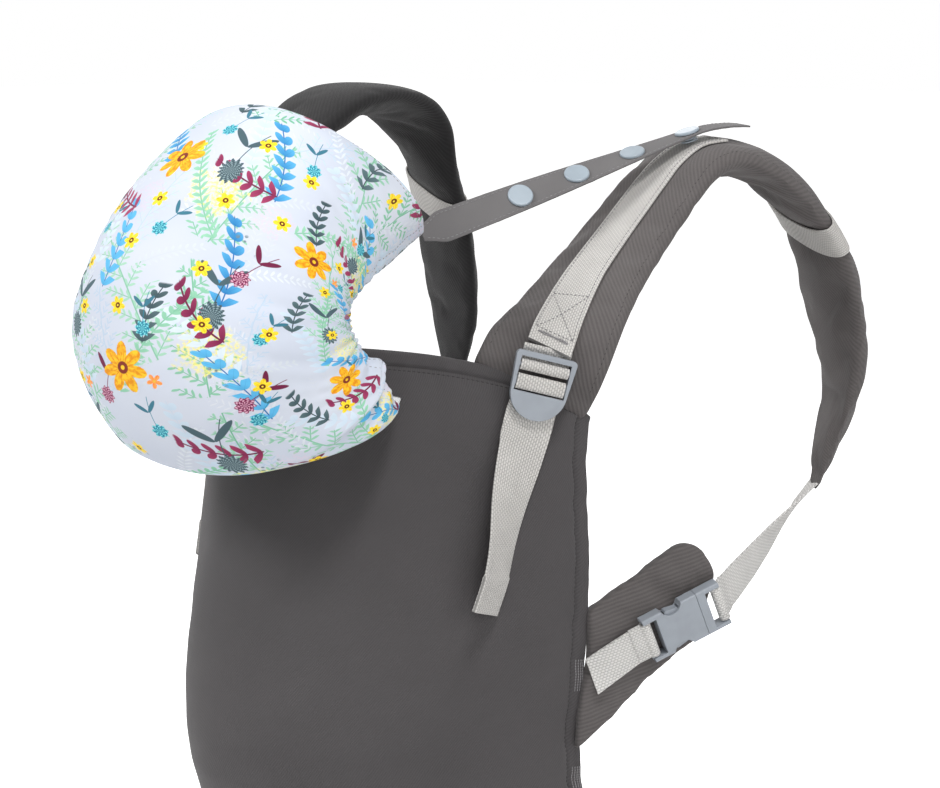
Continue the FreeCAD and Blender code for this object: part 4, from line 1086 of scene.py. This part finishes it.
class Wall:
    # reads a curved wall's two faces at any place along it and up it
    def __init__(self, outer, inner, low, corner):
        self.outer, self.inner = shapeTree(frame["nodes"][outer]), shapeTree(frame["nodes"][inner])
        self.corner = corner
        self.centre = lambda z: sum(levelSpan(outer, z)) / 2
        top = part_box(outer)[1][2]
        self.shares = np.linspace(0, 1, wallRead["columns"] + 1)
        lower = np.linspace(low, corner, wallRead["levels"])
        self.levels = [self.level(z) for z in lower]
        last = self.levels[-1]
        self.tops = [self.topOf(angle, last["middle"]) for angle in last["angles"]]
        for z in np.arange(corner + wallRead["rise"], top + wallRead["over"], wallRead["rise"]):
            self.levels.append(self.above(z, last))
        self.heights = [level["z"] for level in self.levels]

    def faces(self, angle, z, middle):
        way = Vector((math.sin(angle), -math.cos(angle), 0))
        eye = Vector((0, middle, z))
        reach = wallRead["reach"]
        outside = self.outer.ray_cast(eye + way * reach, -way, reach)[0]
        inside = self.inner.ray_cast(eye, way, reach)[0]
        return (outside, inside) if outside and inside else None

    def endOf(self, side, z, middle):
        low, high = wallRead["ends"]
        for _ in range(18):
            half = (low + high) / 2
            low, high = (half, high) if self.faces(side * half, z, middle) else (low, half)
        return side * (low - wallRead["skin"])

    def topOf(self, angle, middle):
        low, high = self.corner - wallRead["top"][0], self.corner + wallRead["top"][1]
        for _ in range(16):
            half = (low + high) / 2
            low, high = (half, high) if self.faces(angle, half, middle) else (low, half)
        return low

    def level(self, z):
        middle = self.centre(z)
        spread = np.linspace(self.endOf(1, z, middle), self.endOf(-1, z, middle), wallRead["spots"])
        pairs = [self.faces(angle, z, middle) for angle in spread]
        kept = [k for k, pair in enumerate(pairs) if pair]
        outside = np.array([pairs[k][0] for k in kept])
        inside = np.array([pairs[k][1] for k in kept])
        # the rays miss the last of each end, where the two faces part
        for face in (outside, inside):
            for end, within in ((0, 3), (-1, -4)):
                tangent = face[end] - face[within]
                face[end] += tangent / np.linalg.norm(tangent) * wallRead["missed"]
        run = np.concatenate([[0], np.cumsum(np.linalg.norm(np.diff(outside, axis=0), axis=1))])
        share = run / run[-1]
        outside, inside = [np.array([np.interp(self.shares, share, face[:, k]) for k in range(3)]).T
                           for face in (outside, inside)]
        return {"z": z, "middle": middle, "angles": np.interp(self.shares, share, spread[kept]),
                "outside": outside, "inside": inside, "run": run[-1]}

    def above(self, z, last):
        outside, inside = [], []
        one, two = self.levels[-1], self.levels[-2]
        step = (z - one["z"]) / (one["z"] - two["z"])
        for k, angle in enumerate(last["angles"]):
            pair = self.faces(angle, z, last["middle"]) if z < self.tops[k] else None
            if pair:
                outside.append(np.array(pair[0]))
                inside.append(np.array(pair[1]))
            else:
                outside.append(one["outside"][k] + (one["outside"][k] - two["outside"][k]) * step)
                inside.append(one["inside"][k] + (one["inside"][k] - two["inside"][k]) * step)
        return {"z": z, "outside": np.array(outside), "inside": np.array(inside), "run": last["run"]}

    def topAt(self, share):
        return float(np.interp(share, self.shares, self.tops))

    def at(self, share, z):
        k = int(np.clip(np.searchsorted(self.heights, z) - 1, 0, len(self.heights) - 2))
        t = (z - self.heights[k]) / (self.heights[k + 1] - self.heights[k])
        found = []
        for key in ("outside", "inside"):
            rows = [[np.interp(share, self.shares, self.levels[n][key][:, c]) for c in range(3)]
                    for n in (k, k + 1)]
            found.append(np.array(rows[0]) * (1 - t) + np.array(rows[1]) * t)
        outside, inside = found
        gap = np.linalg.norm(outside - inside)
        return (outside + inside) / 2, (outside - inside) / gap, gap / 2


edgeMarks = [0.0, 0.0007, 0.0016, 0.003, 0.005, 0.0072, 0.0088, 0.0096, 0.0102, 0.0112, 0.0128, 0.0155,
             0.019, 0.0235]


def spacedMarks(length, step, head=True, tail=True):
    # places along a length, close together near the ends
    low = edgeMarks if head else [0.0]
    high = [length - mark for mark in reversed(edgeMarks)] if tail else [length]
    count = max(int((high[0] - low[-1]) / step), 2)
    inner = [low[-1] + (high[0] - low[-1]) * k / count for k in range(1, count)]
    return low + inner + high


hem = {"thick": 0.0044, "width": 0.0098, "round": 0.003, "groove": 0.62, "left": 0.38, "grooveRun": 0.0018,
       "rise": 0.0045}


def hemProfile(distance, full):
    # half thickness at a distance from the edge: a flat hem, a groove, then the padding
    thick, width = hem["thick"], hem["width"]
    if distance < width:
        rise = math.sqrt(max(0.0, 1 - (1 - min(distance / hem["round"], 1.0)) ** 2))
        return thick * rise * (1 - hem["groove"] * smoothStep(width - hem["grooveRun"], width, distance))
    floor = thick * hem["left"]
    return floor + (full - floor) * (1 - math.exp(-(distance - width) / hem["rise"]))


panel = {"corner": 0.405, "step": 0.0055, "fold": 0.0026, "foldSize": 0.075, "crumple": 0.35,
         "crumpleSize": 0.03, "pucker": 0.0019, "puckerAt": 0.0135, "puckerRun": 0.009, "fill": 0.55,
         "tuck": 0.009, "lift": 0.0006, "tall": 0.4, "sewn": 0.0122, "foot": 0.004, "tacks": ((0.244, 0.222), (0.170, 0.150)), "tackInset": 0.0055,
         "tackLines": (-0.0022, -0.0008, 0.0008, 0.0022)}


def makePanel():
    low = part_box("panel_shell")[0][2] + panel["lift"]
    wall = Wall("panel_shell", "panel_lining", low, panel["corner"])
    run = max(level["run"] for level in wall.levels)
    marks = spacedMarks(run, panel["step"])
    count = len(marks) - 1
    tall = spacedMarks(panel["tall"], panel["step"], head=False)
    rows = len(tall) - 1
    edge = edgeMarks[-1]

    def spotAt(i, j):
        k = round(i * 2 * count)
        back = k > count
        share = marks[k if not back else 2 * count - k] / run
        ceiling = wall.topAt(share)
        fromTop = panel["tall"] - tall[round(j * rows)]
        if fromTop > edge:
            fromTop = edge + (fromTop - edge) * (ceiling - low - edge) / (panel["tall"] - edge)
        z = ceiling - fromTop
        place, out, half = wall.at(share, z)
        side = min(share, 1 - share) * run
        distance = min(side, fromTop)
        h = hemProfile(distance, half)
        u, v = (share - 0.5) * run, z
        if z < low + 0.0004:
            # the last row is tucked into the belt's top seam
            place[2] -= panel["tuck"]
            return place, (u + (2.0 if back else 0.0), v)
        inward = smoothStep(hem["width"], 0.04, distance)
        fold = soft(u, v * 0.55, 3.0, panel["foldSize"]) * panel["fold"] * inward
        crumple = soft(u * 0.5 + v * 0.8, v * 0.5 - u * 0.4, 9.0, panel["crumpleSize"])
        fold += crumple * panel["fold"] * panel["crumple"] * inward
        along = v if side < fromTop else u
        ridge = soft(along * 1.0, 0.0, 7.0, 0.0075) + 0.5 * soft(along, 0.0, 17.0, 0.016)
        beside = math.exp(-((distance - panel["puckerAt"]) / panel["puckerRun"]) ** 2)
        pucker = ridge * panel["pucker"] * (beside + 0.35 * (distance < hem["width"]))
        if back:
            place = place - out * (h + pucker * 0.5)
            u = u + 2.0
        else:
            place = place + out * (h + fold + pucker)
        return place, (u, v)

    piece = gridPiece("panel", 2 * count, rows, spotAt)
    weld(piece, 2e-5)
    subdivide(piece)
    dress(piece, cloth, "carrier",
          ["panel_shell", "panel_padding", "panel_lining", "panel_top_hem"])
    tree = shapeTree(piece)

    def sewn(share, z):
        place, out, _ = wall.at(share, z)
        return onto(tree, place, out)

    rows = []
    inset = panel["sewn"] / run
    foot = panel["foot"]
    for share in (inset, 1 - inset):
        rows.append([sewn(share, low + foot + (wall.topAt(share) - panel["sewn"] - low - foot) * k / 300)
                     for k in range(301)])
    shares = [inset + (1 - 2 * inset) * k / 400 for k in range(401)]
    rows.append([sewn(share, wall.topAt(share) - panel["sewn"]) for share in shares])
    # these stitches also carry painted shade: a dark line for the groove beside the hem
    stitches("panel_sewing", rows, "panel", threadWithSeamShade, "carrier")
    tacks = []
    for start, end in panel["tacks"]:
        for share in (panel["tackInset"] / run, 1 - panel["tackInset"] / run):
            for shift in panel["tackLines"]:
                tacks.append([sewn(share + shift / run, start + (end - start) * k / 20) for k in range(21)])
    stitches("panel_bar_tacks", tacks, "panelTack", greyThread, "carrier")


makePanel()
print("panel")

belt = {"step": 0.007, "fill": 0.6, "half": 0.055, "grooves": (-0.028, 0.0, 0.028), "groove": 0.0022,
        "grooveSize": 0.0028, "wave": 0.0008, "reach": 0.6, "skin": 0.003}


def makeBelt():
    outer = shapeTree(frame["nodes"]["waist_belt_cover"])
    inner = shapeTree(frame["nodes"]["waist_belt_lining"])
    reach = belt["reach"]

    def faces(angle, z):
        way = Vector((math.sin(angle), -math.cos(angle), 0))
        outside = outer.ray_cast(Vector((0, 0, z)) + way * reach, -way, reach)[0]
        inside = inner.ray_cast(Vector((0, 0, z)), way, reach)[0]
        return (np.array(outside), np.array(inside)) if outside and inside else None

    def edge(test, low, high):
        for _ in range(16):
            half = (low + high) / 2
            low, high = (half, high) if test(half) else (low, half)
        return low

    ends = [side * (edge(lambda a: faces(side * a, 0.0), 1.5, 3.1) - belt["skin"]) for side in (1, -1)]
    angles = np.linspace(ends[0], ends[1], 181)
    table = []
    for angle in angles:
        pair = faces(angle, 0.0)
        top = edge(lambda z: faces(angle, z), 0.01, 0.08)
        table.append((pair[0], pair[1], top))
    outside = np.array([row[0] for row in table])
    run = np.concatenate([[0], np.cumsum(np.linalg.norm(np.diff(outside, axis=0), axis=1))])
    marks = spacedMarks(run[-1], belt["step"])
    count = len(marks) - 1
    tall = spacedMarks(belt["half"] * 2, belt["step"])
    rows = len(tall) - 1

    def spotAt(i, j):
        k = round(i * 2 * count)
        back = k > count
        mark = marks[k if not back else 2 * count - k]
        a, b = [np.array([np.interp(mark, run, [row[n][c] for row in table]) for c in range(3)])
                for n in (0, 1)]
        top = float(np.interp(mark, run, [row[2] for row in table]))
        z = (tall[round(j * rows)] - belt["half"]) / belt["half"] * top
        out = (a - b) / np.linalg.norm(a - b)
        half = np.linalg.norm(a - b) / 2
        distance = min(mark, run[-1] - mark, top - abs(z))
        h = hemProfile(distance, half)
        for groove in belt["grooves"]:
            dent = belt["groove"] * math.exp(-((z - groove) / belt["grooveSize"]) ** 2)
            h -= dent * smoothStep(0.0, 0.02, top - abs(groove))
        h += soft(mark, z, 5.0, 0.03) * belt["wave"] * smoothStep(0.008, 0.03, distance)
        place = (a + b) / 2 + out * (h if not back else -h)
        place[2] = z
        return place, (mark + (2.0 if back else 0.0), z)

    piece = gridPiece("waist_belt", 2 * count, rows, spotAt)
    weld(piece, 2e-5)
    subdivide(piece)
    dress(piece, cloth, "carrier",
          ["waist_belt_cover", "waist_belt_foam", "waist_belt_lining"])


makeBelt()
print("belt")

# bands round the pads
band = {"width": 0.025, "thick": 0.0016, "clear": 0.0013, "columns": 72, "rows": 24, "power": 0.84,
        "edge": 0.3, "squeeze": 0.6, "turnLength": 4.4}


def makeBand(name):
    # a loop of webbing that hugs the pad
    sections, _ = straps[name]
    middle = bandAt(name, sections)

    def spotAt(i, j):
        turn = 2 * math.pi * i
        c, n = math.cos(turn), math.sin(turn)
        loop = 2 * math.pi * j
        wide = math.copysign(abs(math.cos(loop)) ** band["edge"], math.cos(loop)) * band["width"] / 2
        lift = math.copysign(abs(math.sin(loop)) ** band["edge"], math.sin(loop)) * band["thick"] / 2
        s = between(sections, middle + wide)
        half = s["half"] + band["clear"]
        thick = s["thick"] * (1 - pad["squeeze"] * band["squeeze"]) + band["clear"]
        x = half * math.copysign(abs(c) ** band["power"], c)
        y = thick * math.copysign(abs(n) ** band["power"], n)
        away = Vector((c * thick, n * half)).normalized()
        point = s["place"] + s["across"] * (x + away.x * lift) + s["out"] * (y + away.y * lift)
        return point, (middle + wide, i * band["turnLength"] * half)

    piece = gridPiece("band_" + name, band["columns"], band["rows"], spotAt)
    weld(piece, 2e-5)
    dress(piece, webbing, "strap_band_" + name, ["strap_band_" + name])


for name in sides:
    makeBand(name)

hood = {
    # half width, then how far back and up the middle and the ends of each rib are
    "ribs": [(0.107, -0.291, 0.381, -0.214, 0.417), (0.108, -0.325, 0.375, -0.231, 0.438),
             (0.112, -0.357, 0.418, -0.250, 0.455), (0.110, -0.358, 0.486, -0.260, 0.471),
             (0.102, -0.326, 0.551, -0.253, 0.483), (0.097, -0.285, 0.592, -0.232, 0.495),
             (0.091, -0.256, 0.609, -0.199, 0.509), (0.085, -0.243, 0.598, -0.169, 0.522)],
    "turn": 125.0, "columns": 120, "rows": 100, "smooth": (4, 0.4, 0.15), "cloth": 0.0014, "casing": 0.0115,
    # height, pitch and reach of the gathers, then how they fade towards the top
    "folds": ((0.0098, 0.019, 0.046), (0.0052, 0.0085, 0.022)), "tight": (0.62, 0.9), "loosen": 0.6,
    "lean": 0.05, "sharp": 0.7, "sunk": 0.6, "billow": 0.003, "billowSize": 0.07, "seam": (0.0009, 0.0012),
    # where the long fold lies, its height and reach, and its run above and below
    "crease": (0.046, 0.0075, 0.095, 0.016, 0.0045),
    "edgeSeam": 0.0022, "search": 0.008, "under": 0.0002,
    "lining": {"inward": 0.0044, "margin": 1, "thick": 0.001, "folded": 0.45}}


def hoodPoint(x, t):
    ribs = hood["ribs"]
    s = t * (len(ribs) - 1)
    k = min(int(s), len(ribs) - 2)
    f = s - k
    a, b, c, d = [np.array(ribs[min(max(n, 0), len(ribs) - 1)]) for n in (k - 1, k, k + 1, k + 2)]
    half, topY, topZ, endY, endZ = 0.5 * (2 * b + (c - a) * f + (2 * a - 5 * b + 4 * c - d) * f * f
                                          + (3 * b - a - 3 * c + d) * f ** 3)
    turn = math.radians(hood["turn"]) * x
    share = (1 - math.cos(turn)) / (1 - math.cos(math.radians(hood["turn"])))
    return Vector((half * math.sin(turn), topY + (endY - topY) * share, topZ + (endZ - topZ) * share))


def outerTree(node):
    # only the faces that look away from the middle
    mesh = frame["nodes"][node].data
    low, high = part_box(node)
    middle = (low + high) / 2
    points = [vertex.co for vertex in mesh.vertices]
    faces = [tuple(face.vertices) for face in mesh.polygons if face.normal.dot(face.center - middle) > 0]
    return BVHTree.FromPolygons(points, faces)


def hoodTable():
    # snapped points, normals and lengths of the hood's outside
    tree = outerTree("hood_shell")
    columns, rows = hood["columns"], hood["rows"]
    spots = np.zeros((rows + 1, columns + 1, 3))
    for j in range(rows + 1):
        for i in range(columns + 1):
            spots[j, i] = tree.find_nearest(hoodPoint(2 * i / columns - 1, j / rows))[0]
    rounds, own, others = hood["smooth"]
    for _ in range(rounds):
        spots[1:-1, 1:-1] = spots[1:-1, 1:-1] * own + (spots[:-2, 1:-1] + spots[2:, 1:-1] + spots[1:-1, :-2]
                                                       + spots[1:-1, 2:]) * others
    up = np.gradient(spots, axis=0)
    across = np.gradient(spots, axis=1)
    normals = np.cross(up, across)
    normals /= np.maximum(np.linalg.norm(normals, axis=2), 1e-9)[..., None]
    low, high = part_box("hood_shell")
    middle = np.array((low + high) / 2)
    if (normals[rows // 2, columns // 2] @ (spots[rows // 2, columns // 2] - middle)) < 0:
        normals = -normals
    wide = np.linalg.norm(np.diff(spots, axis=1), axis=2)
    tall = np.linalg.norm(np.diff(spots[:, columns // 2], axis=0), axis=1)
    runs = np.concatenate([np.zeros((rows + 1, 1)), np.cumsum(wide, axis=1)], axis=1)
    rises = np.concatenate([[0], np.cumsum(tall)])
    return spots, normals, runs, rises


hoodSpots, hoodNormals, hoodRuns, hoodRises = hoodTable()


def hoodShape(i, j):
    # how far the gathered cloth stands out at one place of the grid
    run = hoodRuns[j]
    side = min(run[i], run[-1] - run[i])
    v = hoodRises[j]
    lean = (run[i] - run[-1] / 2) * hood["lean"]
    rise = 0.0
    for n, (height, pitch, reach) in enumerate(hood["folds"]):
        wander = soft(v, run[i], 11.0 + n, pitch * 2.6) * 3.0
        uneven = 0.65 + 0.5 * soft(v, 0.0, 23.0 + n, pitch * 1.7)
        phase = (v + lean) / pitch * math.pi + wander
        gather = abs(math.sin(phase)) ** hood["sharp"] - hood["sunk"]
        rise += height * uneven * gather * math.exp(-side / reach)
    rise *= smoothStep(0.0, 0.006, side) * 0.7 + 0.3
    # one long fold, sharp below and soft above, where the cloth hangs over
    at, height, reach, above, below = hood["crease"]
    off = v - at + side * 0.12 + soft(run[i], 0.0, 7.0, 0.05) * 0.004
    rise += height * math.exp(-(off / (above if off > 0 else below)) ** 2) * math.exp(-(side / reach) ** 2)
    ends = min(v, hoodRises[-1] - v)
    loosened = 1 - hood["loosen"] * smoothStep(hood["tight"][0], hood["tight"][1], j / hood["rows"])
    rise *= smoothStep(0.0, 0.02, ends) * loosened
    billow = soft(run[i], v, 2.0, hood["billowSize"]) * hood["billow"]
    rise += billow * smoothStep(0.0, 0.05, min(side, ends))
    depth, width = hood["seam"]
    return rise - math.exp(-((side - hood["casing"]) / width) ** 2) * depth


def hoodSheet(name, inward, margin, thick, folded):
    columns, rows = hood["columns"], hood["rows"]
    first, last = margin, columns - margin

    def spotAt(i, j):
        a, b = round(i * columns), round(j * rows)
        a = min(max(a, first), last)
        place, normal = hoodSpots[b, a], hoodNormals[b, a]
        rise = hoodShape(a, b) * folded - inward
        u = (a / columns - 0.5) * hoodRuns[rows // 2][-1]
        return place + normal * rise, (u, hoodRises[b])

    piece = gridPiece(name, columns, rows, spotAt)
    if margin:
        weld(piece, 1e-6)
    bpy.ops.object.mode_set(mode="EDIT")
    bpy.ops.mesh.select_all(action="SELECT")
    bpy.ops.mesh.normals_make_consistent(inside=False)
    bpy.ops.object.mode_set(mode="OBJECT")
    middle = hoodSpots[rows // 2, columns // 2]
    centre = hoodSpots.reshape(-1, 3).mean(0)
    near = min(piece.data.polygons, key=lambda f: (f.center - Vector(middle)).length)
    if near.normal.dot(Vector(middle - centre)) < 0:
        bpy.ops.object.mode_set(mode="EDIT")
        bpy.ops.mesh.flip_normals()
        bpy.ops.object.mode_set(mode="OBJECT")
    solid = piece.modifiers.new("Solidify", "SOLIDIFY")
    solid.thickness = thick
    solid.offset = -1
    applyModifiers(piece)
    return piece


def makeHood():
    shell = hoodSheet("hood", inward=hood["under"], margin=0, thick=hood["cloth"], folded=1.0)
    subdivide(shell)
    dress(shell, flowers, "hood", ["hood_shell"])
    lining = hoodSheet("hood_inner_lining", **hood["lining"])
    dress(lining, liningCloth, "hood", ["hood_lining"])
    for name in sides:
        piece = copied("hood_elastic_" + name, "elastic_" + name)
        layCloth(piece, (0, 1, 0), (0, 0, 1))
        dress(piece, elasticCloth, "hood", ["hood_elastic_" + name])
    rows = []
    columns = hood["columns"]
    for side in (0, 1):
        for inset in (hood["casing"], hood["edgeSeam"]):
            row = []
            for j in range(2, hood["rows"] - 1):
                run = hoodRuns[j]
                goal = inset if side == 0 else run[-1] - inset
                i = int(np.clip(round(float(np.interp(goal, run, range(columns + 1)))), 0, columns))
                place, normal = hoodSpots[j, i], hoodNormals[j, i]
                row.append((Vector(place), Vector(normal)))
            rows.append(row)
    tree = shapeTree(shell)
    rows = [[onto(tree, place, normal, hood["search"]) for place, normal in row] for row in rows]
    front = [onto(tree, hoodSpots[-5, i], hoodNormals[-5, i], hood["search"])
             for i in range(2, columns - 1)]
    stitches("hood_sewing", rows + [front], "hood", greyThread, "hood")


makeHood()
print("hood")

tab = {"under": 0.008, "tuck": 0.45, "start": 0.006, "step": 0.003, "reach": 0.03, "sewnFrom": 0.002,
       "sewnShort": 0.006, "sewnInset": 0.0022,
       "out": {"right": Vector((0.75, -0.6, 0.25)), "left": Vector((0, -1, 0))}}


def makeHoodStrap(name):
    corner = Vector(joints["hood_strap_swing_" + name]["pos_m"])
    low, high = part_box("hood_snaps_" + name)
    heading = ((low + high) / 2 - corner).normalized()
    if name == "left":
        heading = Vector((0, 0, -1))
    across = Vector(joints["hood_strap_swing_" + name]["axis"])
    body = "hood_strap_" + name
    sections = walk([body], corner + heading * tab["start"], heading, across, tab["step"], tab["reach"])
    sections = ordered(sections, tab["out"][name], corner)
    first = dict(sections[0])
    first["place"] = first["place"] - heading * tab["under"]
    sections = [first] + [dict(s, at=s["at"] + tab["under"]) for s in sections]
    for s in sections:
        s["half"] *= tab["tuck"] + (1 - tab["tuck"]) * smoothStep(0, tab["under"] * 2, s["at"])
    piece = strip("hood_tab_" + name, sections, len(sections) * 2)
    dress(piece, strapCloth, body, [body])
    end = sections[-1]["at"]
    rows = []
    for side in (-1, 1):
        row = []
        for k in range(121):
            at = tab["sewnFrom"] + (end - tab["sewnShort"]) * k / 120
            inset = between(sections, at)["half"] - tab["sewnInset"]
            row.append(stripPoint(sections, at, side * inset, 0.0))
        rows.append(row)
    stitches("hood_tab_sewing_" + name, rows, "tab", greyThread, body)
    return sections


tabs = {name: makeHoodStrap(name) for name in sides}
print("hood straps", [len(s) for s in tabs.values()], [round(s[-1]["at"], 3) for s in tabs.values()])


# tails and other webbing
tail = {"step": 0.004, "fold": 0.026, "twist": 0.85, "out": 0.009, "lift": 0.0022, "row": 0.002,
        "inset": 0.003, "sewn": 0.004, "settle": (0.1, 0.45), "turned": (0.05, 0.75), "reach": 0.03}


def restOn(sections, length):
    # the left tail lies against the panel's side
    tree = shapeTree(bpy.data.objects["panel"])
    for s in sections:
        share = smoothStep(*tail["settle"], s["at"] / length)
        hit, normal, _, _ = tree.find_nearest(Vector(s["place"]))
        s["place"] = s["place"] * (1 - share) + np.array(hit + normal * tail["lift"]) * share
        out = s["out"] * (1 - share) + np.array(normal) * share
        s["out"] = out / np.linalg.norm(out)
        across = np.cross(s["along"], s["out"])
        across *= 1 if across @ s["across"] > 0 else -1
        s["across"] = across / np.linalg.norm(across)
    return smoothed(sections, 3)


def tailSections(name):
    axis = Vector(joints["lock_tilt_" + name]["axis"])
    points, _ = meshOf(["adjuster_tail_" + name])
    top = points[points[:, 2] > points[:, 2].max() - 0.002].mean(0)
    sections = walk(["adjuster_tail_" + name], Vector(top) - Vector((0, 0, 0.003)), (0, -0.2, -1), axis,
                    tail["step"], tail["reach"])
    sections = smoothed(ordered(sections, Vector((sides[name] * 0.3, -1, 0)), sections[0]["place"]), 5)
    length = sections[-1]["at"]
    if name == "left":
        return restOn(sections, length)
    for s in sections:
        share = smoothStep(*tail["turned"], s["at"] / length)
        angle = tail["twist"] * share * sides[name]
        across, out = s["across"].copy(), s["out"].copy()
        s["across"] = across * math.cos(angle) + out * math.sin(angle)
        s["out"] = out * math.cos(angle) - across * math.sin(angle)
        s["place"] = s["place"] + out * tail["out"] * share
    return sections


def makeTail(name):
    sections = tailSections(name)
    length = sections[-1]["at"]
    piece = strip("tail_webbing_" + name, sections, int(length / tail["row"]), tail["fold"])
    dress(piece, webbing, "adjuster_tail_" + name, ["adjuster_tail_" + name])
    half = sections[-1]["half"] - tail["inset"]
    at = length - tail["fold"] + tail["sewn"]
    rows = [lineOn(sections, (at, -half), (at, half))]
    stitches("tail_sewing_" + name, rows, "tail", paleThread, "adjuster_tail_" + name)


for name in sides:
    makeTail(name)
print("tails")

looped = {"lock_webbing_": ("ladder_lock_", "lock"), "side_webbing_": ("carrier", "side"),
          "lower_strap_": ("carrier", "side"), "adjuster_anchor_": ("carrier", "lock")}
# how the side webbing's end is cut, how much the anchor is narrowed, where slack webbing starts to bend
looping = {"short": 0.012, "slant": 0.009, "cutRun": 0.03, "narrowed": 0.22, "bendFrom": 0.2,
           "edge": 0.0003, "edgeAngle": 40}


def giveWay(piece, plug):
    # webbing whose plug slides out of the housing; only its transform is baked in, nothing slackens
    low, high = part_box(plug)
    held = (low + high) / 2
    far = max((vertex.co.copy() for vertex in piece.data.vertices), key=lambda co: (co - held).length)
    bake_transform(piece)


def makeLoops(name):
    for part, (body, kind) in looped.items():
        node = part + name
        piece = copied(node, "loop_" + node)
        if kind == "lock":
            across = Vector(joints["lock_tilt_" + name]["axis"])
            along = Vector((0, 0, 1))
        else:
            along = Vector(joints["side_release_" + name]["axis"])
            across = along.cross(Vector(joints["side_squeeze_upper_" + name]["axis"])).normalized()
            across = across if abs(across.z) > 0.2 else Vector((0, 0, 1))
        if part == "adjuster_anchor_":
            centre = sum((v.co for v in piece.data.vertices), Vector()) / len(piece.data.vertices)
            for vertex in piece.data.vertices:
                vertex.co -= across * ((vertex.co - centre).dot(across) * looping["narrowed"])
        if part == "side_webbing_":
            # the end is cut along the seam between wing and panel
            near = min(vertex.co.dot(along) for vertex in piece.data.vertices)
            low = min(vertex.co.dot(across) for vertex in piece.data.vertices)
            high = max(vertex.co.dot(across) for vertex in piece.data.vertices)
            for vertex in piece.data.vertices:
                run = vertex.co.dot(along) - near
                share = (vertex.co.dot(across) - low) / (high - low)
                share = share if across.z < 0 else 1 - share
                cut = looping["short"] - looping["slant"] * share
                vertex.co += along * (cut * (1 - smoothStep(0.0, looping["cutRun"], run)))
        softenEdges(piece, looping["edge"], looping["edgeAngle"])
        layCloth(piece, across, along)
        body += name if body[-1] == "_" else ""
        follows = part == "lower_strap_"
        look = whiteWebbing if kind == "side" else webbing
        dress(piece, look, None if follows else body, [node])
        if follows:
            giveWay(piece, "side_buckle_" + name + "_plug")


for name in sides:
    makeLoops(name)
for node in ("waist_webbing_right", "waist_webbing_left"):
    piece = copied(node, "belt_" + node)
    layCloth(piece, (0, 0, 1), (1, 0, 0))
    follows = node == "waist_webbing_right"
    dress(piece, webbing, None if follows else "carrier", [node])
    if follows:
        giveWay(piece, "waist_buckle_plug")
print("loops")


wing = {"voxel": 0.004, "pressure": 4.5, "cap": 0.005, "slack": -0.02, "reach": 0.009, "reachRun": 0.03,
        "fill": 0.5, "pinned": 0.55, "crumple": 0.0012, "crumpleSize": 0.022}


def makeWing(name):
    piece = copied("side_wing_" + name, "wing_pad_" + name)
    piece.data.remesh_voxel_size = wing["voxel"]
    selectOnly(piece)
    bpy.ops.object.voxel_remesh()
    along = Vector(joints["side_release_" + name]["axis"])
    centre = sum((v.co for v in piece.data.vertices), Vector()) / len(piece.data.vertices)
    flat = np.linalg.svd(np.array([v.co - centre for v in piece.data.vertices]), full_matrices=False)[2]
    normal = Vector(flat[2])
    group = piece.vertex_groups.new(name="seam")
    pins = [v.index for v in piece.data.vertices if abs(v.normal.dot(normal)) < wing["pinned"]]
    group.add(pins, 1.0, "REPLACE")
    for vertex in piece.data.vertices:
        spot = vertex.co - centre
        crumple = soft(spot.dot(Vector(flat[0])), spot.dot(Vector(flat[1])), 1.0, wing["crumpleSize"])
        vertex.co += vertex.normal * (crumple * wing["crumple"])
    inflate(piece, wing["pressure"], wing["cap"], wing["slack"])
    near = min(vertex.co.dot(along) for vertex in piece.data.vertices)
    for vertex in piece.data.vertices:
        run = vertex.co.dot(along) - near
        vertex.co -= along * (wing["reach"] * (1 - smoothStep(0.0, wing["reachRun"], run)))
    subdivide(piece)
    layCloth(piece, Vector(flat[1]), Vector(flat[0]))
    dress(piece, padCloth, "carrier", ["side_wing_" + name])


for name in sides:
    makeWing(name)
print("wings")


def finishFittings():
    # buckles, locks and snaps keep their own shapes and get plastic and smooth shading
    for node, thing in frame["nodes"].items():
        if "buckle" in node or "ladder_lock" in node:
            material = buckles
        elif "snap" in node:
            material = snaps
        else:
            continue
        for k in range(len(thing.data.materials)):
            thing.data.materials[k] = material
        smoothShade(thing, 35)


finishFittings()
makeLamps()
makeStage()
makeCamera()
print("stage")
